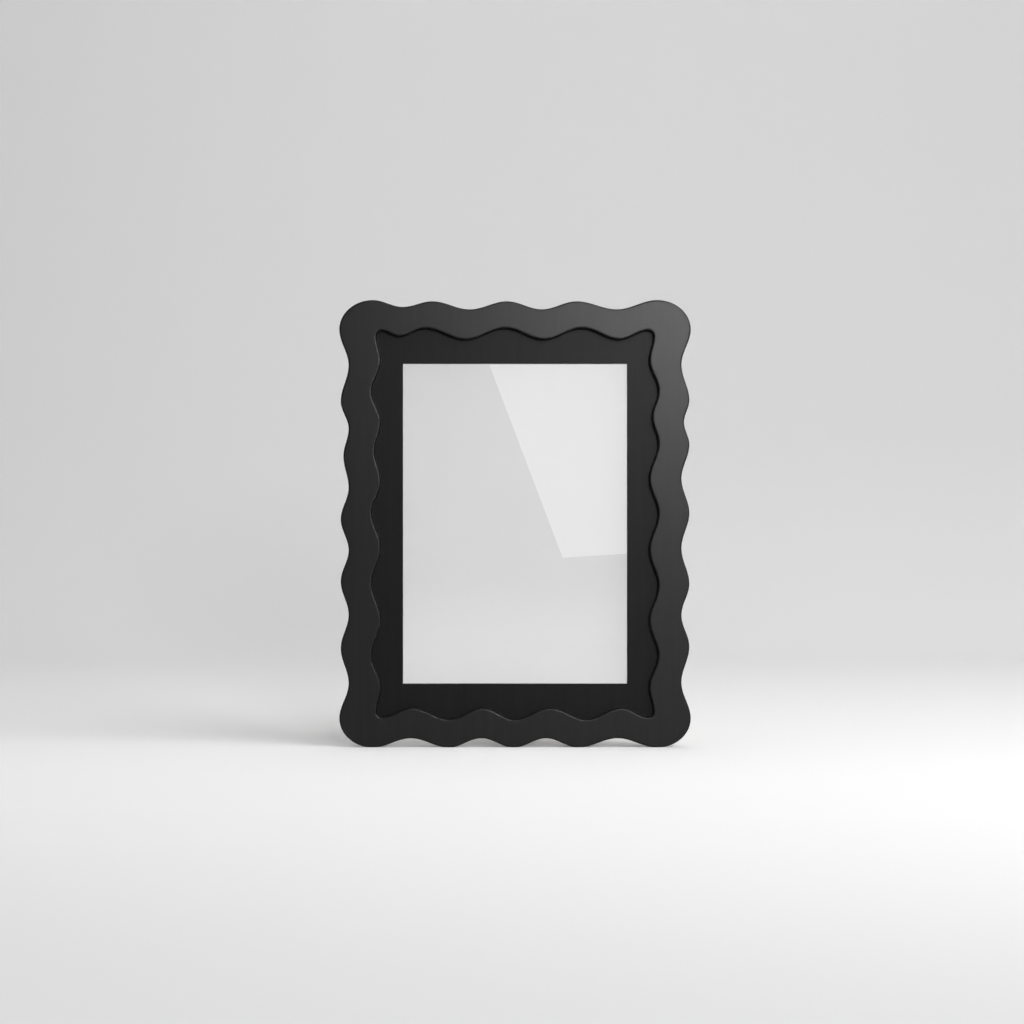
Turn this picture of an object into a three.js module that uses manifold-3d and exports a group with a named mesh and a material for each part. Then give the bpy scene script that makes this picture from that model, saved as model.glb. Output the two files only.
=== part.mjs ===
// A wavy wooden picture frame for a 127 by 178 mm print.
// It stands upright on the low crests of its wave and on a strut that swings out behind it,
// and it hangs either way up by a sawtooth plate.
// Millimetres, +Z up. The front faces -Y, +X is to the viewer's right, and Z = 0 is the table.
import * as THREE from "three";
import { mergeVertices } from "three/addons/utils/BufferGeometryUtils.js";
import Module from "manifold-3d";

const wasm = await Module();
wasm.setup();

// The print, and the layers that hold it
const PRINT_WIDTH = 127;
const PRINT_HEIGHT = 177.8;
const SIGHT_LIP = 4; // lap of the sight panel over each edge of the print
const REBATE_CLEARANCE = 0.5; // room beside the glass, the sheet and the board
const GLUE_GAP = 0.1; // film of glue or air between flat faces that meet
const PANEL_THICKNESS = 3;
const GLASS_THICKNESS = 2;
const SHEET_THICKNESS = 0.5;
const BOARD_THICKNESS = 3;

// The wavy front, with insets measured inward from its outermost line
const BORDER = 33.4; // from the sight opening to the outermost line
const WAVE_THICKNESS = 6;
const ARRIS = 0.8; // bevel along every edge of the wavy front
const LOBE_ACROSS = 17.8; // corner lobe, a quarter ellipse
const LOBE_UP = 15.5;
const OUTER_TROUGH = 4.9;
const END_INNER_CREST = 14.8;
const END_INNER_TROUGH = 20.8;
const END_NOTCH = 16; // inner edge at the corner, on the top and bottom
const STILE_INNER_CREST = 17;
const STILE_INNER_TROUGH = 21.75;
const STILE_NOTCH = 19.5; // inner edge at the corner, on the two sides
const NOTCH_RADIUS = 3;
const BOTTOM_OUTER_CREST = 0;
const TOP_OUTER_CREST = 0.65;
const STILE_OUTER_CREST = 0.75;
const FOOT_FLAT = 0.25; // planed off the low crests, so that they stand flat
const WAVE_STEPS = 6; // facets of each half wave
const SINE_HANDLE = 0.3642; // Bezier handle, as a share of its span, that follows half a sine

// Crests of both edges along each side, as shares of the run from one corner lobe to the next.
// They go anticlockwise from the bottom left, and are uneven, as in a wave drawn by hand.
const BOTTOM_CRESTS = { outer: [0.267, 0.496, 0.722], inner: [0.271, 0.499, 0.751] };
const RIGHT_CRESTS = {
  outer: [0.184, 0.346, 0.528, 0.704, 0.818],
  inner: [0.162, 0.342, 0.527, 0.707, 0.843],
};
const TOP_CRESTS = { outer: [0.283, 0.528, 0.791], inner: [0.263, 0.533, 0.815] };
const LEFT_CRESTS = {
  outer: [0.185, 0.326, 0.488, 0.648, 0.82],
  inner: [0.161, 0.314, 0.47, 0.653, 0.839],
};

// Short waves are shallow: the number of a raised trough or a low crest, counted from 0, and by
// what share of the swing it falls short
const RIGHT_RAISED_TROUGHS = { 4: 0.32 };
const TOP_RAISED_TROUGHS = { 3: 0.3 };
const LEFT_LOW_CRESTS = { 1: 0.34 };

// Fasteners
const HOLE_CLEARANCE = 0.15; // between a shank and its hole
const ROUND_STEPS = 12; // facets of a fastener or a hole
const SCREW_RADIUS = 1.4;
const SINK_HEAD_RADIUS = 3;
const SINK_HEAD_DEPTH = 1.8;
const SINK_HEAD_DROP = 0.2; // the head lies this far under the wood
const SINK_BITE = 3; // length of screw in the wavy front
const SINK_EDGE = 1; // wood left between the head and the edge of its rail
const PAN_HEAD_RADIUS = 2.8;
const PAN_HEAD_HEIGHT = 1.4;
const PAN_BITE = 4.2; // length of screw in the rail

// Turn buttons
const BUTTON_WIDTH = 8;
const BUTTON_THICKNESS = 1.2;
const BUTTON_LAP = 5; // reach over the edge of the back board
const BUTTON_SPACING = 112;

// Sawtooth hangers
const HANGER_LENGTH = 42;
const HANGER_WIDTH = 9;
const HANGER_SHEET = 0.8;
const HANGER_RISE = 1.2; // the toothed middle stands off the wood
const HANGER_TAB = 8; // flat end that takes a nail
const HANGER_BEND = 2.5; // length of the slope from tab to middle
const TOOTH_COUNT = 9;
const TOOTH_DEPTH = 1.6;
const NAIL_RADIUS = 0.7;
const NAIL_BITE = 4; // length of nail in the rail
const NAIL_HEAD_RADIUS = 1.7;
const NAIL_HEAD_HEIGHT = 0.7;

// Strut
const STRUT_THICKNESS = 5;
const STRUT_HEIGHT = 150;
const STRUT_REACH = 70; // from its hinge edge to its toe
const STRUT_TOP_REACH = 20;
const STRUT_TOE = 14; // flat length of the toe, and of the heel
const STRUT_ARCH = 3; // rise of the foot between heel and toe
const STRUT_CORNER = 6;
const STRUT_ARRIS = 0.5;
const STRUT_STOP_GAP = 0.3; // hinge edge to back board, where the strut stops

// Butt hinges of the strut
const HINGE_HEIGHT = 24;
const HINGE_LOW = 48; // middle of the lower hinge above the table
const HINGE_TOP = 28; // middle of the upper hinge below the top of the strut
const LEAF_WIDTH = 13; // from the pin to the edge of the leaf
const LEAF_THICKNESS = 1;
const LEAF_CORNER = 2;
const KNUCKLE_RADIUS = 2.2;
const KNUCKLE_GAP = 0.3;
const PIN_RADIUS = 1;
const PIN_HEAD_RADIUS = 1.7;
const PIN_HEAD_HEIGHT = 0.6;
const PIN_CLEARANCE = 0.15;
const RIVET_RADIUS = 0.9;
const RIVET_HEAD_RADIUS = 1.9;
const RIVET_HEAD_HEIGHT = 0.7;
const RIVET_SPACING = 15;
const RIVET_OUT = 8; // from the pin to the rivets

// Sizes that follow from those above
const HALF_WIDTH = PRINT_WIDTH / 2 - SIGHT_LIP + BORDER;
const HALF_HEIGHT = PRINT_HEIGHT / 2 - SIGHT_LIP + BORDER;
const CENTRE_HEIGHT = HALF_HEIGHT - FOOT_FLAT;
const PANEL_INSET = (OUTER_TROUGH + END_INNER_CREST) / 2; // hidden behind the ribbon all round
const PANEL_HALF_WIDTH = HALF_WIDTH - PANEL_INSET;
const PANEL_HALF_HEIGHT = HALF_HEIGHT - PANEL_INSET;
const REBATE_HALF_WIDTH = PRINT_WIDTH / 2 + REBATE_CLEARANCE;
const REBATE_HALF_HEIGHT = PRINT_HEIGHT / 2 + REBATE_CLEARANCE;
const PANEL_FRONT = WAVE_THICKNESS + GLUE_GAP;
const REBATE_FRONT = PANEL_FRONT + PANEL_THICKNESS + GLUE_GAP;
const SHEET_FRONT = REBATE_FRONT + GLASS_THICKNESS + GLUE_GAP;
const BOARD_FRONT = SHEET_FRONT + SHEET_THICKNESS + GLUE_GAP;
const BACK = BOARD_FRONT + BOARD_THICKNESS;
const SINK_INSET = PANEL_INSET + SINK_EDGE + SINK_HEAD_RADIUS;
const SINK_LENGTH = BACK - SINK_HEAD_DROP - WAVE_THICKNESS + SINK_BITE;
const BUTTON_FRONT = BACK + GLUE_GAP;
const STRUT_EDGE = BACK + STRUT_STOP_GAP;
const HINGE_X = STRUT_THICKNESS / 2 + GLUE_GAP + KNUCKLE_RADIUS;
const HINGE_Y = BACK + GLUE_GAP + KNUCKLE_RADIUS;
const DEPTH = STRUT_EDGE + STRUT_REACH;

// The four sides of the wave, each with its direction of travel and its way out
const direction = (x, y) => new THREE.Vector2(x, y);
const END = {
  halfRun: HALF_WIDTH - LOBE_ACROSS,
  reach: HALF_HEIGHT,
  innerCrest: END_INNER_CREST,
  innerTrough: END_INNER_TROUGH,
  notch: END_NOTCH,
  halfNotchRun: HALF_WIDTH - STILE_NOTCH - NOTCH_RADIUS,
  raisedTroughs: {},
  lowCrests: {},
};
const STILE = {
  halfRun: HALF_HEIGHT - LOBE_UP,
  reach: HALF_WIDTH,
  innerCrest: STILE_INNER_CREST,
  innerTrough: STILE_INNER_TROUGH,
  notch: STILE_NOTCH,
  halfNotchRun: HALF_HEIGHT - END_NOTCH - NOTCH_RADIUS,
  raisedTroughs: {},
  lowCrests: {},
};
const SIDES = {
  bottom: {
    ...END,
    along: direction(1, 0),
    out: direction(0, -1),
    crests: BOTTOM_CRESTS,
    outerCrest: BOTTOM_OUTER_CREST,
  },
  right: {
    ...STILE,
    along: direction(0, 1),
    out: direction(1, 0),
    crests: RIGHT_CRESTS,
    outerCrest: STILE_OUTER_CREST,
    raisedTroughs: RIGHT_RAISED_TROUGHS,
  },
  top: {
    ...END,
    along: direction(-1, 0),
    out: direction(0, 1),
    crests: TOP_CRESTS,
    outerCrest: TOP_OUTER_CREST,
    raisedTroughs: TOP_RAISED_TROUGHS,
  },
  left: {
    ...STILE,
    along: direction(0, -1),
    out: direction(-1, 0),
    crests: LEFT_CRESTS,
    outerCrest: STILE_OUTER_CREST,
    lowCrests: LEFT_LOW_CRESTS,
  },
};

// Finishes
function finish(color, roughness, metalness = 0) {
  return new THREE.MeshStandardMaterial({ color, roughness, metalness });
}
const blackLacquer = finish(0x2b2b2b, 0.5);
const blackPanel = finish(0x222222, 0.6);
const blackStain = finish(0x26231f, 0.7);
const hardboard = finish(0x6d4f36, 0.8);
const paleSheet = finish(0xdcdcda, 0.9);
const steel = finish(0xb4b6b8, 0.35, 1);
const brass = finish(0xb08d4f, 0.35, 1);
const clearGlass = finish(0xe8efee, 0.05);
clearGlass.transparent = true;
clearGlass.opacity = 0.25;

// Joining and cutting: a closed geometry becomes a solid, and the result a geometry again.
function solidOf(geometry) {
  const bare = geometry.clone();
  bare.deleteAttribute("normal");
  bare.deleteAttribute("uv");
  const merged = mergeVertices(bare, 1e-4);
  const vertProperties = merged.getAttribute("position").array;
  const triVerts = new Uint32Array(merged.index.array);
  return new wasm.Manifold(new wasm.Mesh({ numProp: 3, vertProperties, triVerts }));
}

function geometryOf(solid) {
  const mesh = solid.getMesh();
  const geometry = new THREE.BufferGeometry();
  geometry.setAttribute("position", new THREE.BufferAttribute(mesh.vertProperties, 3));
  geometry.setIndex(new THREE.BufferAttribute(mesh.triVerts, 1));
  geometry.computeVertexNormals();
  return geometry;
}

function cut(geometry, cutters) {
  const solid = cutters.reduce((left, cutter) => left.subtract(solidOf(cutter)), solidOf(geometry));
  return geometryOf(solid);
}

function join(geometries) {
  return geometryOf(geometries.map(solidOf).reduce((joined, solid) => joined.add(solid)));
}

// An upright plate: its outline is drawn in X and Z, and its front face lies at Y = front.
// An eased plate has the arrises of its front and back faces bevelled.
function plate(outline, thickness, front, ease = 0, steps = ROUND_STEPS / 2) {
  const geometry = new THREE.ExtrudeGeometry(outline, {
    depth: thickness - 2 * ease,
    curveSegments: steps,
    bevelEnabled: ease > 0,
    bevelThickness: ease,
    bevelSize: ease,
    bevelOffset: -ease,
    bevelSegments: 1,
  });
  return geometry.rotateX(Math.PI / 2).translate(0, front + thickness - ease, 0);
}

function rectangle(halfWidth, halfHeight) {
  const outline = new THREE.Shape();
  outline.moveTo(-halfWidth, -halfHeight);
  outline.lineTo(halfWidth, -halfHeight);
  outline.lineTo(halfWidth, halfHeight);
  outline.lineTo(-halfWidth, halfHeight);
  outline.closePath();
  return outline;
}

function roundHole(x, y, radius) {
  return new THREE.Path().absarc(x, y, radius, 0, 2 * Math.PI, true);
}

// A piece turned about the Y axis. Its profile lists radius and place along Y, from low Y to high.
function turned(profile) {
  const points = profile.map(([radius, along]) => new THREE.Vector2(radius, along));
  return new THREE.LatheGeometry(points, ROUND_STEPS);
}

// A straight hole that goes down from Y = 0 and is open above it
function bore(radius, depth) {
  const above = radius;
  return turned([
    [0, -depth],
    [radius, -depth],
    [radius, above],
    [0, above],
  ]);
}

// The wave

function place(side, share, inset) {
  const point = side.along.clone().multiplyScalar((2 * share - 1) * side.halfRun);
  return point.addScaledVector(side.out, side.reach - inset);
}

// Troughs stand midway between crests, and a corner counts as a crest.
function troughShares(crests) {
  const tops = [0, ...crests, 1];
  return tops.slice(1).map((top, i) => (tops[i] + top) / 2);
}

// The turning points of one edge of a side, from one corner to the next
function turningPoints(side, crests, crestInset, troughInset, corner) {
  const swing = troughInset - crestInset;
  const points = [{ share: corner.share, inset: corner.inset }];
  troughShares(crests).forEach((trough, i) => {
    const rise = (side.raisedTroughs[i] ?? 0) * swing;
    const drop = (side.lowCrests[i] ?? 0) * swing;
    points.push({ share: trough, inset: troughInset - rise });
    if (i < crests.length) points.push({ share: crests[i], inset: crestInset + drop });
  });
  points.push({ share: 1 - corner.share, inset: corner.inset });
  return points;
}

// Adds one side to an edge, with half a sine from each turning point to the next.
function addSide(edge, side, points) {
  const first = place(side, points[0].share, points[0].inset);
  if (edge.curves.length === 0) edge.moveTo(first.x, first.y);
  points.slice(1).forEach((to, i) => {
    const from = points[i];
    const end = place(side, to.share, to.inset);
    const handle = SINE_HANDLE * 2 * side.halfRun * (to.share - from.share);
    const leave = place(side, from.share, from.inset).addScaledVector(side.along, handle);
    const arrive = end.clone().addScaledVector(side.along, -handle);
    edge.bezierCurveTo(leave.x, leave.y, arrive.x, arrive.y, end.x, end.y);
  });
}

// Adds the quarter turn at the end of a side, about a centre that mirrors into each corner.
function addCorner(edge, side, centre, acrossRadius, upRadius) {
  const corner = side.along.clone().add(side.out).multiply(centre);
  const start = side.out.angle();
  edge.absellipse(corner.x, corner.y, acrossRadius, upRadius, start, start + Math.PI / 2, false);
}

function outerEdge() {
  const edge = new THREE.Shape();
  const centre = direction(HALF_WIDTH - LOBE_ACROSS, HALF_HEIGHT - LOBE_UP);
  for (const side of Object.values(SIDES)) {
    const corner = { share: 0, inset: 0 };
    addSide(edge, side, turningPoints(side, side.crests.outer, side.outerCrest, OUTER_TROUGH, corner));
    addCorner(edge, side, centre, LOBE_ACROSS, LOBE_UP);
  }
  return edge;
}

// The inner edge swings nearly in step with the outer one, and turns each corner in a small notch.
function innerEdge() {
  const edge = new THREE.Path();
  const centre = direction(END.halfNotchRun, STILE.halfNotchRun);
  for (const side of Object.values(SIDES)) {
    const corner = { share: (1 - side.halfNotchRun / side.halfRun) / 2, inset: side.notch };
    const { crests, innerCrest, innerTrough } = side;
    addSide(edge, side, turningPoints(side, crests.inner, innerCrest, innerTrough, corner));
    addCorner(edge, side, centre, NOTCH_RADIUS, NOTCH_RADIUS);
  }
  return edge;
}

// Sunk screws hold each rail and the panel to the wavy front from behind.
// They stand in the outermost troughs of the wave, where the ribbon reaches furthest in.
function sinkPlaces(side) {
  const troughs = troughShares(side.crests.inner);
  return [troughs[0], troughs[troughs.length - 1]].map((share) => place(side, share, SINK_INSET));
}

function sinkScrew() {
  return turned([
    [0, -SINK_LENGTH],
    [SCREW_RADIUS, -SINK_LENGTH + 2 * SCREW_RADIUS],
    [SCREW_RADIUS, -SINK_HEAD_DEPTH],
    [SINK_HEAD_RADIUS, 0],
    [0, 0],
  ]);
}

// The countersunk hole of one such screw, through every layer that it passes
function sinkHole(point) {
  const radius = SCREW_RADIUS + HOLE_CLEARANCE;
  const mouth = SINK_HEAD_RADIUS + HOLE_CLEARANCE;
  const hole = turned([
    [0, -SINK_LENGTH - HOLE_CLEARANCE],
    [radius, -SINK_LENGTH - HOLE_CLEARANCE],
    [radius, -SINK_HEAD_DEPTH - HOLE_CLEARANCE],
    [mouth, -HOLE_CLEARANCE],
    [mouth, 2 * SINK_HEAD_DROP],
    [0, 2 * SINK_HEAD_DROP],
  ]);
  return hole.translate(point.x, BACK - SINK_HEAD_DROP, point.y);
}

const sinkHoles = Object.values(SIDES).flatMap(sinkPlaces).map(sinkHole);

function waveFront() {
  const outline = outerEdge();
  outline.holes.push(innerEdge());
  const ribbon = plate(outline, WAVE_THICKNESS, 0, ARRIS, WAVE_STEPS);
  const planed = new THREE.BoxGeometry(2 * HALF_WIDTH, 2 * WAVE_THICKNESS, LOBE_UP);
  planed.translate(0, WAVE_THICKNESS / 2, FOOT_FLAT - HALF_HEIGHT - LOBE_UP / 2);
  return cut(ribbon, [planed, ...sinkHoles]);
}

function sightPanel() {
  const outline = rectangle(PANEL_HALF_WIDTH, PANEL_HALF_HEIGHT);
  outline.holes.push(rectangle(PRINT_WIDTH / 2 - SIGHT_LIP, PRINT_HEIGHT / 2 - SIGHT_LIP));
  return cut(plate(outline, PANEL_THICKNESS, PANEL_FRONT), sinkHoles);
}

// One mitred rail of the rebate, with its screw holes and the extra holes of what is fixed on it
function rail(side, extraHoles) {
  const across = direction(PANEL_HALF_WIDTH, PANEL_HALF_HEIGHT);
  const rebate = direction(REBATE_HALF_WIDTH, REBATE_HALF_HEIGHT);
  const mitre = side.along.clone().multiplyScalar(GLUE_GAP);
  const ahead = side.out.clone().add(side.along);
  const behind = side.out.clone().sub(side.along);
  const outline = new THREE.Shape([
    across.clone().multiply(behind).add(mitre),
    across.clone().multiply(ahead).sub(mitre),
    rebate.clone().multiply(ahead).sub(mitre),
    rebate.clone().multiply(behind).add(mitre),
  ]);
  return cut(plate(outline, BACK - REBATE_FRONT, REBATE_FRONT), [...sinkHoles, ...extraHoles]);
}

// What is let into the rebate
function rebateSheet(thickness, front) {
  return plate(rectangle(PRINT_WIDTH / 2, PRINT_HEIGHT / 2), thickness, front);
}

// Turn buttons, each on a pan-head screw in a side rail
const BUTTON_X = (PANEL_HALF_WIDTH + REBATE_HALF_WIDTH) / 2;
const BUTTONS = {
  left_lower: { x: -BUTTON_X, z: -BUTTON_SPACING / 2, turn: 0 },
  left_upper: { x: -BUTTON_X, z: BUTTON_SPACING / 2, turn: 0 },
  right_lower: { x: BUTTON_X, z: -BUTTON_SPACING / 2, turn: Math.PI },
  right_upper: { x: BUTTON_X, z: BUTTON_SPACING / 2, turn: Math.PI },
};

function turnButton() {
  const round = BUTTON_WIDTH / 2;
  const arm = BUTTON_X - (PRINT_WIDTH / 2 - BUTTON_LAP) - round;
  const outline = new THREE.Shape();
  outline.absarc(0, 0, round, Math.PI / 2, (3 * Math.PI) / 2, false);
  outline.absarc(arm, 0, round, -Math.PI / 2, Math.PI / 2, false);
  outline.closePath();
  outline.holes.push(roundHole(0, 0, SCREW_RADIUS + HOLE_CLEARANCE));
  return plate(outline, BUTTON_THICKNESS, 0);
}

// The screw's seat, where its head meets the button, is at Y = 0.
function panScrew() {
  const reach = BUTTON_THICKNESS + 2 * GLUE_GAP + PAN_BITE;
  return turned([
    [0, -reach],
    [SCREW_RADIUS, -reach + SCREW_RADIUS],
    [SCREW_RADIUS, 0],
    [PAN_HEAD_RADIUS, 0],
    [PAN_HEAD_RADIUS, PAN_HEAD_HEIGHT / 2],
    [PAN_HEAD_RADIUS / 2, PAN_HEAD_HEIGHT],
    [0, PAN_HEAD_HEIGHT],
  ]);
}

function panHole({ x, z }) {
  return bore(SCREW_RADIUS + HOLE_CLEARANCE, PAN_BITE + HOLE_CLEARANCE).translate(x, BACK, z);
}

// Sawtooth hangers: a strip with teeth along its middle, bent so that the middle stands off the wood
const NAIL_OUT = (HANGER_LENGTH - HANGER_TAB) / 2;
const HANGERS = {
  top: { side: SIDES.top, turn: 0 },
  side: { side: SIDES.left, turn: -Math.PI / 2 },
};

function hangerCentre({ side }) {
  const across = side.out.x === 0 ? PANEL_HALF_HEIGHT : PANEL_HALF_WIDTH;
  const inner = side.out.x === 0 ? REBATE_HALF_HEIGHT : REBATE_HALF_WIDTH;
  return side.out.clone().multiplyScalar((across + inner) / 2);
}

function hangerNails(hanger) {
  const centre = hangerCentre(hanger);
  return [-NAIL_OUT, NAIL_OUT].map((out) => centre.clone().addScaledVector(hanger.side.along, out));
}

function sawtoothHanger() {
  const half = HANGER_LENGTH / 2;
  const low = -HANGER_WIDTH / 2;
  const toothed = half - HANGER_TAB - HANGER_BEND;
  const pitch = (2 * toothed) / TOOTH_COUNT;
  const outline = new THREE.Shape();
  outline.moveTo(half, low);
  outline.lineTo(half, -low);
  outline.lineTo(-half, -low);
  outline.lineTo(-half, low);
  for (let tooth = 0; tooth < TOOTH_COUNT; tooth++) {
    const start = -toothed + tooth * pitch;
    outline.lineTo(start, low);
    outline.lineTo(start + pitch / 2, low + TOOTH_DEPTH);
  }
  outline.lineTo(toothed, low);
  outline.closePath();
  for (const out of [-NAIL_OUT, NAIL_OUT]) {
    outline.holes.push(roundHole(out, 0, NAIL_RADIUS + HOLE_CLEARANCE));
  }
  const flat = plate(outline, HANGER_RISE + HANGER_SHEET, 0);

  // The bent strip seen along Z, as wide as the flat one
  const foot = half - HANGER_TAB;
  const bend = new THREE.Shape();
  bend.moveTo(-half, 0);
  bend.lineTo(-foot, 0);
  bend.lineTo(-toothed, HANGER_RISE);
  bend.lineTo(toothed, HANGER_RISE);
  bend.lineTo(foot, 0);
  bend.lineTo(half, 0);
  bend.lineTo(half, HANGER_SHEET);
  bend.lineTo(foot, HANGER_SHEET);
  bend.lineTo(toothed, HANGER_RISE + HANGER_SHEET);
  bend.lineTo(-toothed, HANGER_RISE + HANGER_SHEET);
  bend.lineTo(-foot, HANGER_SHEET);
  bend.lineTo(-half, HANGER_SHEET);
  bend.closePath();
  const strip = new THREE.ExtrudeGeometry(bend, { depth: HANGER_WIDTH, bevelEnabled: false });
  strip.translate(0, 0, low);
  return geometryOf(solidOf(flat).intersect(solidOf(strip)));
}

// The nail's seat, where its head meets the strip, is at Y = 0.
function nail() {
  const reach = HANGER_SHEET + 2 * GLUE_GAP + NAIL_BITE;
  return turned([
    [0, -reach],
    [NAIL_RADIUS, -reach + 2 * NAIL_RADIUS],
    [NAIL_RADIUS, 0],
    [NAIL_HEAD_RADIUS, 0],
    [NAIL_HEAD_RADIUS, NAIL_HEAD_HEIGHT / 2],
    [NAIL_HEAD_RADIUS / 2, NAIL_HEAD_HEIGHT],
    [0, NAIL_HEAD_HEIGHT],
  ]);
}

function nailHole({ x, y }) {
  return bore(NAIL_RADIUS + HOLE_CLEARANCE, NAIL_BITE + HOLE_CLEARANCE).translate(x, BACK, y);
}

// The strut and its hinges are drawn open, about the hinge pins at X = 0 and Y = 0.
const HINGES = { lower: HINGE_LOW, upper: STRUT_HEIGHT - HINGE_TOP };
const RIVET_HEIGHTS = [-RIVET_SPACING / 2, RIVET_SPACING / 2];

function rivetHole(x, y) {
  return roundHole(x, y, RIVET_RADIUS + HOLE_CLEARANCE);
}

function strutBoard() {
  const edge = STRUT_EDGE - HINGE_Y;
  const toe = edge + STRUT_REACH;
  const top = edge + STRUT_TOP_REACH;
  const arch = (toe - edge) / 2 - STRUT_TOE;
  const shoulder = STRUT_HEIGHT - STRUT_CORNER;
  const outline = new THREE.Shape();
  outline.moveTo(edge, 0);
  outline.lineTo(edge + STRUT_TOE, 0);
  outline.quadraticCurveTo(edge + STRUT_TOE + arch, 2 * STRUT_ARCH, toe - STRUT_TOE, 0);
  outline.lineTo(toe - STRUT_CORNER / 2, 0);
  outline.quadraticCurveTo(toe, 0, toe, STRUT_CORNER);
  outline.bezierCurveTo(toe - STRUT_TOP_REACH, STRUT_HEIGHT / 3, top, STRUT_HEIGHT / 2, top, shoulder);
  outline.quadraticCurveTo(top, STRUT_HEIGHT, top - STRUT_CORNER, STRUT_HEIGHT);
  outline.lineTo(edge, STRUT_HEIGHT);
  outline.closePath();
  for (const middle of Object.values(HINGES)) {
    for (const up of RIVET_HEIGHTS) outline.holes.push(rivetHole(RIVET_OUT, middle + up));
  }
  const board = plate(outline, STRUT_THICKNESS, 0, STRUT_ARRIS);
  return board.rotateZ(Math.PI / 2).translate(-KNUCKLE_RADIUS - GLUE_GAP, 0, 0);
}

// Three knuckles share the height of a hinge: the outer two belong to the fixed leaf.
function knuckles(moving) {
  const length = (HINGE_HEIGHT - 2 * KNUCKLE_GAP) / 3;
  const step = length + KNUCKLE_GAP;
  return { length, middles: moving ? [0] : [-step, step] };
}

function upright(radius, height, middle) {
  const cylinder = new THREE.CylinderGeometry(radius, radius, height, ROUND_STEPS);
  return cylinder.rotateX(Math.PI / 2).translate(0, 0, middle);
}

// A leaf lies along +X, flush with the side of its knuckles that faces -Y.
function leaf(moving) {
  const own = knuckles(moving);
  const other = knuckles(!moving);
  const half = HINGE_HEIGHT / 2;
  const outline = new THREE.Shape();
  outline.moveTo(0, -half);
  outline.lineTo(LEAF_WIDTH - LEAF_CORNER, -half);
  outline.quadraticCurveTo(LEAF_WIDTH, -half, LEAF_WIDTH, LEAF_CORNER - half);
  outline.lineTo(LEAF_WIDTH, half - LEAF_CORNER);
  outline.quadraticCurveTo(LEAF_WIDTH, half, LEAF_WIDTH - LEAF_CORNER, half);
  outline.lineTo(0, half);
  outline.closePath();
  for (const up of RIVET_HEIGHTS) outline.holes.push(rivetHole(RIVET_OUT, up));
  const sheet = plate(outline, LEAF_THICKNESS, -KNUCKLE_RADIUS);
  const room = other.middles.map((middle) =>
    upright(KNUCKLE_RADIUS + KNUCKLE_GAP, other.length + 2 * KNUCKLE_GAP, middle),
  );
  const rolls = own.middles.map((middle) => upright(KNUCKLE_RADIUS, own.length, middle));
  const pinBore = upright(PIN_RADIUS + PIN_CLEARANCE, 2 * HINGE_HEIGHT, 0);
  return cut(join([cut(sheet, room), ...rolls]), [pinBore]);
}

function hingePin() {
  const half = HINGE_HEIGHT / 2 + GLUE_GAP;
  const end = half + PIN_HEAD_HEIGHT;
  const pin = turned([
    [0, -end],
    [PIN_HEAD_RADIUS, -end],
    [PIN_HEAD_RADIUS, -half],
    [PIN_RADIUS, -half],
    [PIN_RADIUS, half],
    [PIN_HEAD_RADIUS, half],
    [PIN_HEAD_RADIUS, end],
    [0, end],
  ]);
  return pin.rotateX(Math.PI / 2);
}

// A domed rivet. Its seat, where the head meets the leaf, is at Y = 0, and its tail is flush.
function rivet(grip) {
  return turned([
    [0, -grip],
    [RIVET_RADIUS, -grip],
    [RIVET_RADIUS, 0],
    [RIVET_HEAD_RADIUS, 0],
    [0.75 * RIVET_HEAD_RADIUS, 0.7 * RIVET_HEAD_HEIGHT],
    [0, RIVET_HEAD_HEIGHT],
  ]);
}

function backBoard() {
  const outline = rectangle(PRINT_WIDTH / 2, PRINT_HEIGHT / 2);
  for (const middle of Object.values(HINGES)) {
    for (const up of RIVET_HEIGHTS) {
      outline.holes.push(rivetHole(HINGE_X + RIVET_OUT, middle + up - CENTRE_HEIGHT));
    }
  }
  return plate(outline, BOARD_THICKNESS, BOARD_FRONT);
}

// Assembly. Plates are drawn about the middle of the frame, and the strut about its hinge pins.
const part = new THREE.Group();
const frame = new THREE.Group();
frame.position.set(0, -DEPTH / 2, CENTRE_HEIGHT);
const hingeLine = new THREE.Group();
hingeLine.position.set(HINGE_X, HINGE_Y - DEPTH / 2, 0);
part.add(frame, hingeLine);

function add(parent, name, geometry, material, x = 0, y = 0, z = 0) {
  const mesh = new THREE.Mesh(geometry, material);
  mesh.name = name;
  mesh.position.set(x, y, z);
  parent.add(mesh);
}

add(frame, "wave_front", waveFront(), blackLacquer);
add(frame, "sight_panel", sightPanel(), blackPanel);
const extraHoles = [
  ...Object.values(BUTTONS).map(panHole),
  ...Object.values(HANGERS).flatMap(hangerNails).map(nailHole),
];
for (const [name, side] of Object.entries(SIDES)) {
  add(frame, `rail_${name}`, rail(side, extraHoles), blackStain);
}
add(frame, "glass_pane", rebateSheet(GLASS_THICKNESS, REBATE_FRONT), clearGlass);
add(frame, "blank_insert", rebateSheet(SHEET_THICKNESS, SHEET_FRONT), paleSheet);
add(frame, "back_board", backBoard(), hardboard);

for (const [name, side] of Object.entries(SIDES)) {
  sinkPlaces(side).forEach(({ x, y }, i) => {
    add(frame, `rail_screw_${name}_${i + 1}`, sinkScrew(), steel, x, BACK - SINK_HEAD_DROP, y);
  });
}

const buttonSeat = BUTTON_FRONT + BUTTON_THICKNESS + GLUE_GAP;
for (const [name, { x, z, turn }] of Object.entries(BUTTONS)) {
  add(frame, `turn_button_${name}`, turnButton().rotateY(turn), steel, x, BUTTON_FRONT, z);
  add(frame, `button_screw_${name}`, panScrew(), steel, x, buttonSeat, z);
}

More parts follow.
